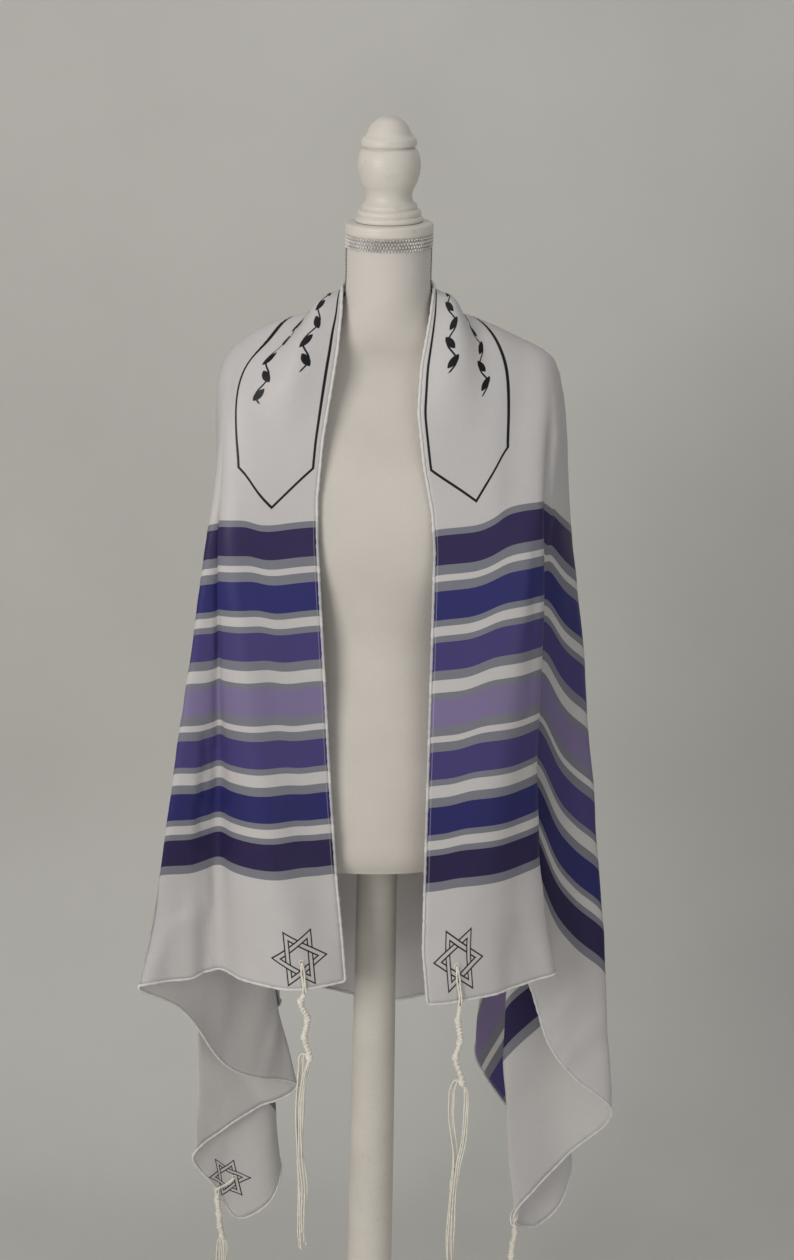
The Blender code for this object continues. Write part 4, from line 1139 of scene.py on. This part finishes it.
# ================================================================ tassels
# Millimetres from where each tassel passes the hem: sideways and up. Knots are the places of
# the double knots; each route is followed by that many of the eight threads.
TASSEL_ROUTES = {
    "front_left": dict(
        s=-1, t=0.0515, eye=0.0365, stand=(0.0, -1.0), knots=[(-4.2, -13.5), (3.6, -34.0), (-0.4, -56.0), (5.6, -79.0)],
        routes=[
            (4, [(5.0, -80.5), (3.2, -76.6), (-0.6, -75.4), (-3.8, -78.5), (-5.4, -90), (-7.4, -134), (-8.8, -172), (-7.4, -197), (-4.8, -234), (-7.2, -272), (-6, -320)]),
            (4, [(5.4, -82.0), (3.2, -90), (-0.4, -103), (-4.6, -130), (-7.0, -172), (-6.8, -200), (-4.6, -236), (-6.9, -272), (-5.4, -312)]),
        ],
    ),
    "front_right": dict(
        s=1, t=0.0390, eye=0.0470, stand=(0.0, -1.0), knots=[(-1.8, -22.5), (0.8, -46.0), (-4.6, -66.0), (3.6, -95.5)],
        routes=[
            (4, [(2.8, -97.0), (0.8, -93.4), (-3.0, -93.6), (-6.2, -98.6), (-8.2, -124), (-5.6, -168), (-3.2, -188), (-3.0, -205), (-7.4, -246), (-9.6, -280), (-9.0, -342)]),
            (3, [(4.4, -97.6), (8.0, -103), (9.6, -113), (9.0, -136), (4.6, -170), (-0.6, -194), (-2.6, -212), (-6.8, -250), (-8.6, -282), (-8.4, -338)]),
            (1, [(4.0, -99.0), (6.2, -110), (6.0, -136), (2.0, -170), (-3.2, -190), (-9.6, -206), (-14.0, -221), (-12.2, -244), (-9.0, -268), (-10.6, -300), (-11.5, -334)]),
        ],
    ),
    "back_right": dict(
        s=1, t=1.000, eye=0.0350, stand=(0.0, -1.0), knots=[(2.2, -16.0), (-0.6, -34.0), (-2.6, -52.0), (-0.8, -70.0)],
        routes=[
            (4, [(-1.2, -71.5), (-4.2, -76), (-6.4, -92), (-6.0, -130), (-4.6, -170), (-6.4, -230), (-5.4, -296)]),
            (4, [(-0.4, -71.5), (1.8, -77), (3.2, -92), (2.0, -130), (-1.6, -170), (-3.6, -230), (-2.4, -300)]),
        ],
    ),
    "back_left": dict(
        s=-1, t=0.997, eye=0.0400, stand=(0.0, -1.0), knots=[(0.8, -17.0), (2.6, -36.0), (3.4, -54.0), (6.4, -70.0)],
        routes=[
            (4, [(5.8, -71.5), (3.0, -76), (0.8, -90), (0.4, -130), (2.4, -176), (0.6, -230), (1.8, -306)]),
            (4, [(6.6, -71.5), (8.4, -78), (8.8, -92), (6.6, -130), (5.2, -176), (3.4, -230), (4.8, -300)]),
        ],
    ),
}
THREAD_D, CORE_D = 0.0018, 0.0058
HANG = 1.138  # the front tassels hang this much longer than the table's millimetres
CLOTH_NORMALS = normals_of(P)
PICKED = np.random.default_rng(7)


def along(points, step):
    """A smooth curve through the points, read at about equal steps."""
    p = np.asarray(points, float)
    run = np.concatenate([[0], np.cumsum(np.linalg.norm(np.diff(p, axis=0), axis=1))])
    fine = through(np.linspace(0, run[-1], 40 * len(p)), run, p)
    length = np.concatenate([[0], np.cumsum(np.linalg.norm(np.diff(fine, axis=0), axis=1))])
    at = np.linspace(0, length[-1], max(8, int(round(length[-1] / step))))
    return np.stack([np.interp(at, length, fine[:, k]) for k in range(3)], -1)


def length_of(p):
    return float(np.linalg.norm(np.diff(np.asarray(p), axis=0), axis=1).sum())


def yarn(i, a):
    """A two-ply thread's outline along and round it."""
    return 1 + 0.13 * np.cos(2 * a - i * 0.9)


TASSEL_LENGTHS = {}
for name, d in TASSEL_ROUTES.items():
    end = d["s"] * HALF
    hang = HANG if name.startswith("front") else 1.0
    eye_s = end - d["s"] * d["eye"]
    here = grid_point(np.array([eye_s]), np.array([d["t"]]))[0]
    i = int(round((eye_s + HALF) / CLOTH_LENGTH * COLS))
    j = int(round(d["t"] / CLOTH_WIDTH * ROWS))
    n = CLOTH_NORMALS[i, j]
    n = n if n[1] < 0 else -n
    mid_s = end - d["s"] * d["eye"] * 0.5
    mid = grid_point(np.array([mid_s]), np.array([d["t"]]))[0]
    im = int(round((mid_s + HALF) / CLOTH_LENGTH * COLS))
    nm = CLOTH_NORMALS[im, j]
    nm = nm if nm[1] < 0 else -nm
    hem_pt = grid_point(np.array([end]), np.array([d["t"]]))[0]
    ie = COLS if end > 0 else 0
    ne = CLOTH_NORMALS[ie, j]
    ne = ne if ne[1] < 0 else -ne
    # the core from just under the hem through the knots
    base_y = hem_pt[1] + ne[1] * 0.0008
    knots = [np.array([hem_pt[0] + x / 1000, base_y - 0.0012 - 0.00002 * abs(z), hem_pt[2] + z * hang / 1000]) for x, z in d["knots"]]
    over = hem_pt + ne * 0.0030 + np.array([0, 0, 0.001])
    below = hem_pt + ne * 0.0012 + np.array([0, 0, -0.0056])
    front = along([here + n * 0.0016, mid + nm * 0.0022, over, below], 0.0014)
    path = along([below, *knots, knots[-1] + np.array([0, 0, -0.004])], 0.0011)
    gone = np.concatenate([[0], np.cumsum(np.linalg.norm(np.diff(path, axis=0), axis=1))])
    tan, fa, fb = frames_along(path)
    pieces_here = []
    # four threads twisted about each other down to the last knot
    for k in range(4):
        w = gone * (TAU / 0.021) + TAU * k / 4
        r = np.full(len(path), 0.0016)
        strand = path + (np.cos(w) * r)[:, None] * fa + (np.sin(w) * r)[:, None] * fb
        pieces_here.append(tube_mesh(strand, 0.00150, 7, wobble=yarn))
    # the same threads from the eyelet to the hem: two on the face of the cloth
    loop_here = []
    side_dir = np.cross(n, [0, 0, 1.0])
    side_dir /= np.linalg.norm(side_dir)
    for k in (-1, 1):
        q = np.linspace(0, 1, len(front))
        off = (0.0004 + 0.0012 * np.clip(q * 3, 0, 1) * (1 + 0.35 * np.sin(q * 7))) * k
        loop_here.append(tube_mesh(front + off[:, None] * side_dir, 0.00130, 7, wobble=yarn))
    # and two on its back
    back = along([here - n * 0.0018, mid - nm * 0.0022, hem_pt - ne * 0.0032, hem_pt - ne * 0.0016 + np.array([0, 0, -0.0052]), below + np.array([0, 0, -0.003])], 0.0014)
    for k in (-1, 1):
        loop_here.append(tube_mesh(back + 0.0012 * k * side_dir, 0.00115, 6, wobble=yarn))
    lv, lf = joined(loop_here)
    loop_piece = mesh_object("tassel_loop_" + name, lv, lf, THREAD)
    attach(loop_piece, "root")
    # each double knot: tight tilted turns with a crossing over them
    for m, kp in enumerate(knots):
        at = int(np.argmin(np.linalg.norm(path - kp, axis=1)))
        ax = tan[at]
        e1, e2 = fa[at], fb[at]
        tilt = 0.45 if m % 2 else -0.5
        for turn in range(3):
            ang = np.linspace(0, TAU, 26, endpoint=False)
            lift = (turn - 1) * 0.0023
            r = 0.0031 + (0.0004 if turn == 1 else 0)
            ring = kp + np.cos(ang)[:, None] * r * e1 + np.sin(ang)[:, None] * r * e2 + (lift + tilt * r * np.cos(ang + m + turn * 0.4))[:, None] * ax
            pieces_here.append(tube_mesh(ring, 0.00125, 7, closed=True))
        ang = np.linspace(0, TAU * 0.9, 24)
        cross = kp + np.cos(ang + m * 2)[:, None] * 0.0038 * e1 + np.sin(ang + m * 2)[:, None] * 0.0038 * e2 + (0.0034 * np.sin(ang * 0.5 + 0.4) - 0.0018)[:, None] * ax
        pieces_here.append(tube_mesh(cross, 0.00120, 7))
    # the winding between the knots
    for m in range(len(knots) - 1):
        a_i = int(np.argmin(np.linalg.norm(path - knots[m], axis=1)))
        b_i = int(np.argmin(np.linalg.norm(path - knots[m + 1], axis=1)))
        lo, hi = a_i + 3, b_i - 3
        if hi - lo < 4:
            continue
        fine = np.linspace(lo, hi, (hi - lo) * 8)
        ix = np.arange(len(path))
        pp = np.stack([np.interp(fine, ix, path[:, c]) for c in range(3)], -1)
        pa = np.stack([np.interp(fine, ix, fa[:, c]) for c in range(3)], -1)
        pb = np.stack([np.interp(fine, ix, fb[:, c]) for c in range(3)], -1)
        w = (fine - lo) / (hi - lo) * TAU * (4 + m % 2)
        coil = pp + np.cos(w)[:, None] * 0.0030 * pa + np.sin(w)[:, None] * 0.0030 * pb
        pieces_here.append(tube_mesh(coil, 0.00095, 6))
    kv, kf = joined(pieces_here)
    knot_piece = mesh_object("tassel_cord_" + name, kv, kf, THREAD)
    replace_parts(knot_piece, "tassel_knots_" + name)
    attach(knot_piece, "root")
    core_length = length_of(path)
    TASSEL_LENGTHS[name] = [core_length]
    # the eight hanging threads
    lane = 0
    for group, (count, route) in enumerate(d["routes"]):
        for c in range(count):
            pts = [np.array([hem_pt[0] + x / 1000, base_y - 0.0016, hem_pt[2] + z * hang / 1000]) for x, z in route]
            line = along(pts, 0.0017)
            far = np.concatenate([[0], np.cumsum(np.linalg.norm(np.diff(line, axis=0), axis=1))])
            cut = far[-1] - PICKED.uniform(0.0, 0.022)
            line, far = line[far <= cut], far[far <= cut]
            grow = np.clip(far / 0.016, 0, 1)
            grow = grow * grow * (3 - 2 * grow)
            ang = TAU * lane / 8 + 0.5 + far * 5.0
            phase = PICKED.uniform(0, TAU, 3)
            spread = 0.0022 * (0.55 + 0.45 * grow) + grow * 0.0009 * (1 + np.sin(far * 62 + phase[0])) + 0.0009 * grow * (1 + np.sin(far * 27 + phase[1])) * np.clip(far / 0.2, 0, 1)
            line = line + np.stack([np.cos(ang) * spread, np.sin(ang) * spread * 0.9, np.zeros_like(far)], -1)
            line = along(line[::3], 0.0017)
            tv, tf = tube_mesh(line, THREAD_D / 2, 7, wobble=yarn)
            o = mesh_object("tassel_thread_%s_%d" % (name, lane + 1), tv, tf, THREAD)
            if lane == 0:
                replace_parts(o, "tassel_strands_" + name)
            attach(o, "root")
            TASSEL_LENGTHS[name].append(length_of(line))
            lane += 1
    # the worked eyelet
    u1 = np.cross(n, [1.0, 0, 0])
    u1 /= np.linalg.norm(u1)
    u2 = np.cross(n, u1)
    ang = np.linspace(0, TAU, 28, endpoint=False)
    top = here + n * 0.0006
    ring = top + np.cos(ang)[:, None] * 0.0030 * u1 + np.sin(ang)[:, None] * 0.0030 * u2
    stitches = [tube_mesh(ring, 0.0007, 6, closed=True)]
    ev, ef = joined(stitches)
    eye = mesh_object("eyelet_" + name, ev, ef, THREAD)
    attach(eye, "root")

print("tassel lengths", {k: [round(x, 3) for x in v] for k, v in TASSEL_LENGTHS.items()})

# ================================================================ stage and light
def backdrop():
    """A floor that curves up into a wall, all one pale grey."""
    width, front, back, radius, height = 7.0, -6.0, 1.25, 0.6, 4.5
    profile = [(front, 0.0)]
    profile += [(back - radius, 0.0)]
    for k in range(1, 13):
        a = math.pi / 2 * k / 12
        profile.append((back - radius + radius * math.sin(a), radius - radius * math.cos(a)))
    profile.append((back, height))
    vs, fs = [], []
    for y, z in profile:
        vs += [(-width, y, z), (width, y, z)]
    for i in range(len(profile) - 1):
        fs.append((2 * i, 2 * i + 1, 2 * i + 3, 2 * i + 2))
    T = Tree("backdrop_paint")
    co = T.coords()
    n = T.noise(co, 3.0, 5.0).outputs[0]
    col = T.ramp(n, [(0.3, srgb("#c4c3be")), (0.7, srgb("#cac9c4"))])
    b = T.principled(roughness=0.9)
    T.link(col, b.inputs["Base Color"])
    o = mesh_object("backdrop", vs, fs, T.finish(b.outputs[0]))
    return o


backdrop()


def area_light(name, loc, target, size, power, colour=(1, 1, 1)):
    data = bpy.data.lights.new(name, "AREA")
    data.shape = "RECTANGLE"
    data.size, data.size_y = size
    data.energy = power
    data.color = colour
    o = bpy.data.objects.new(name, data)
    o.location = loc
    o.rotation_euler = (Vector(target) - Vector(loc)).to_track_quat("-Z", "Y").to_euler()
    scene.collection.objects.link(o)
    return o


area_light("key_light", (-2.3, -2.9, 2.3), (0, 0, 0.9), (1.8, 1.8), 77, (1.0, 0.965, 0.925))
area_light("fill_light", (1.9, -3.1, 0.9), (-0.1, 0, 0.7), (2.2, 1.6), 14, (1.0, 0.985, 0.96))
area_light("top_light", (0, -0.4, 3.6), (0, 0.1, 1.0), (2.5, 2.0), 12, (1.0, 0.98, 0.95))
world = bpy.data.worlds.new("studio")
scene.world = world
world.use_nodes = True
world.node_tree.nodes["Background"].inputs[0].default_value = (0.97, 0.98, 1.0, 1)
world.node_tree.nodes["Background"].inputs[1].default_value = 0.31
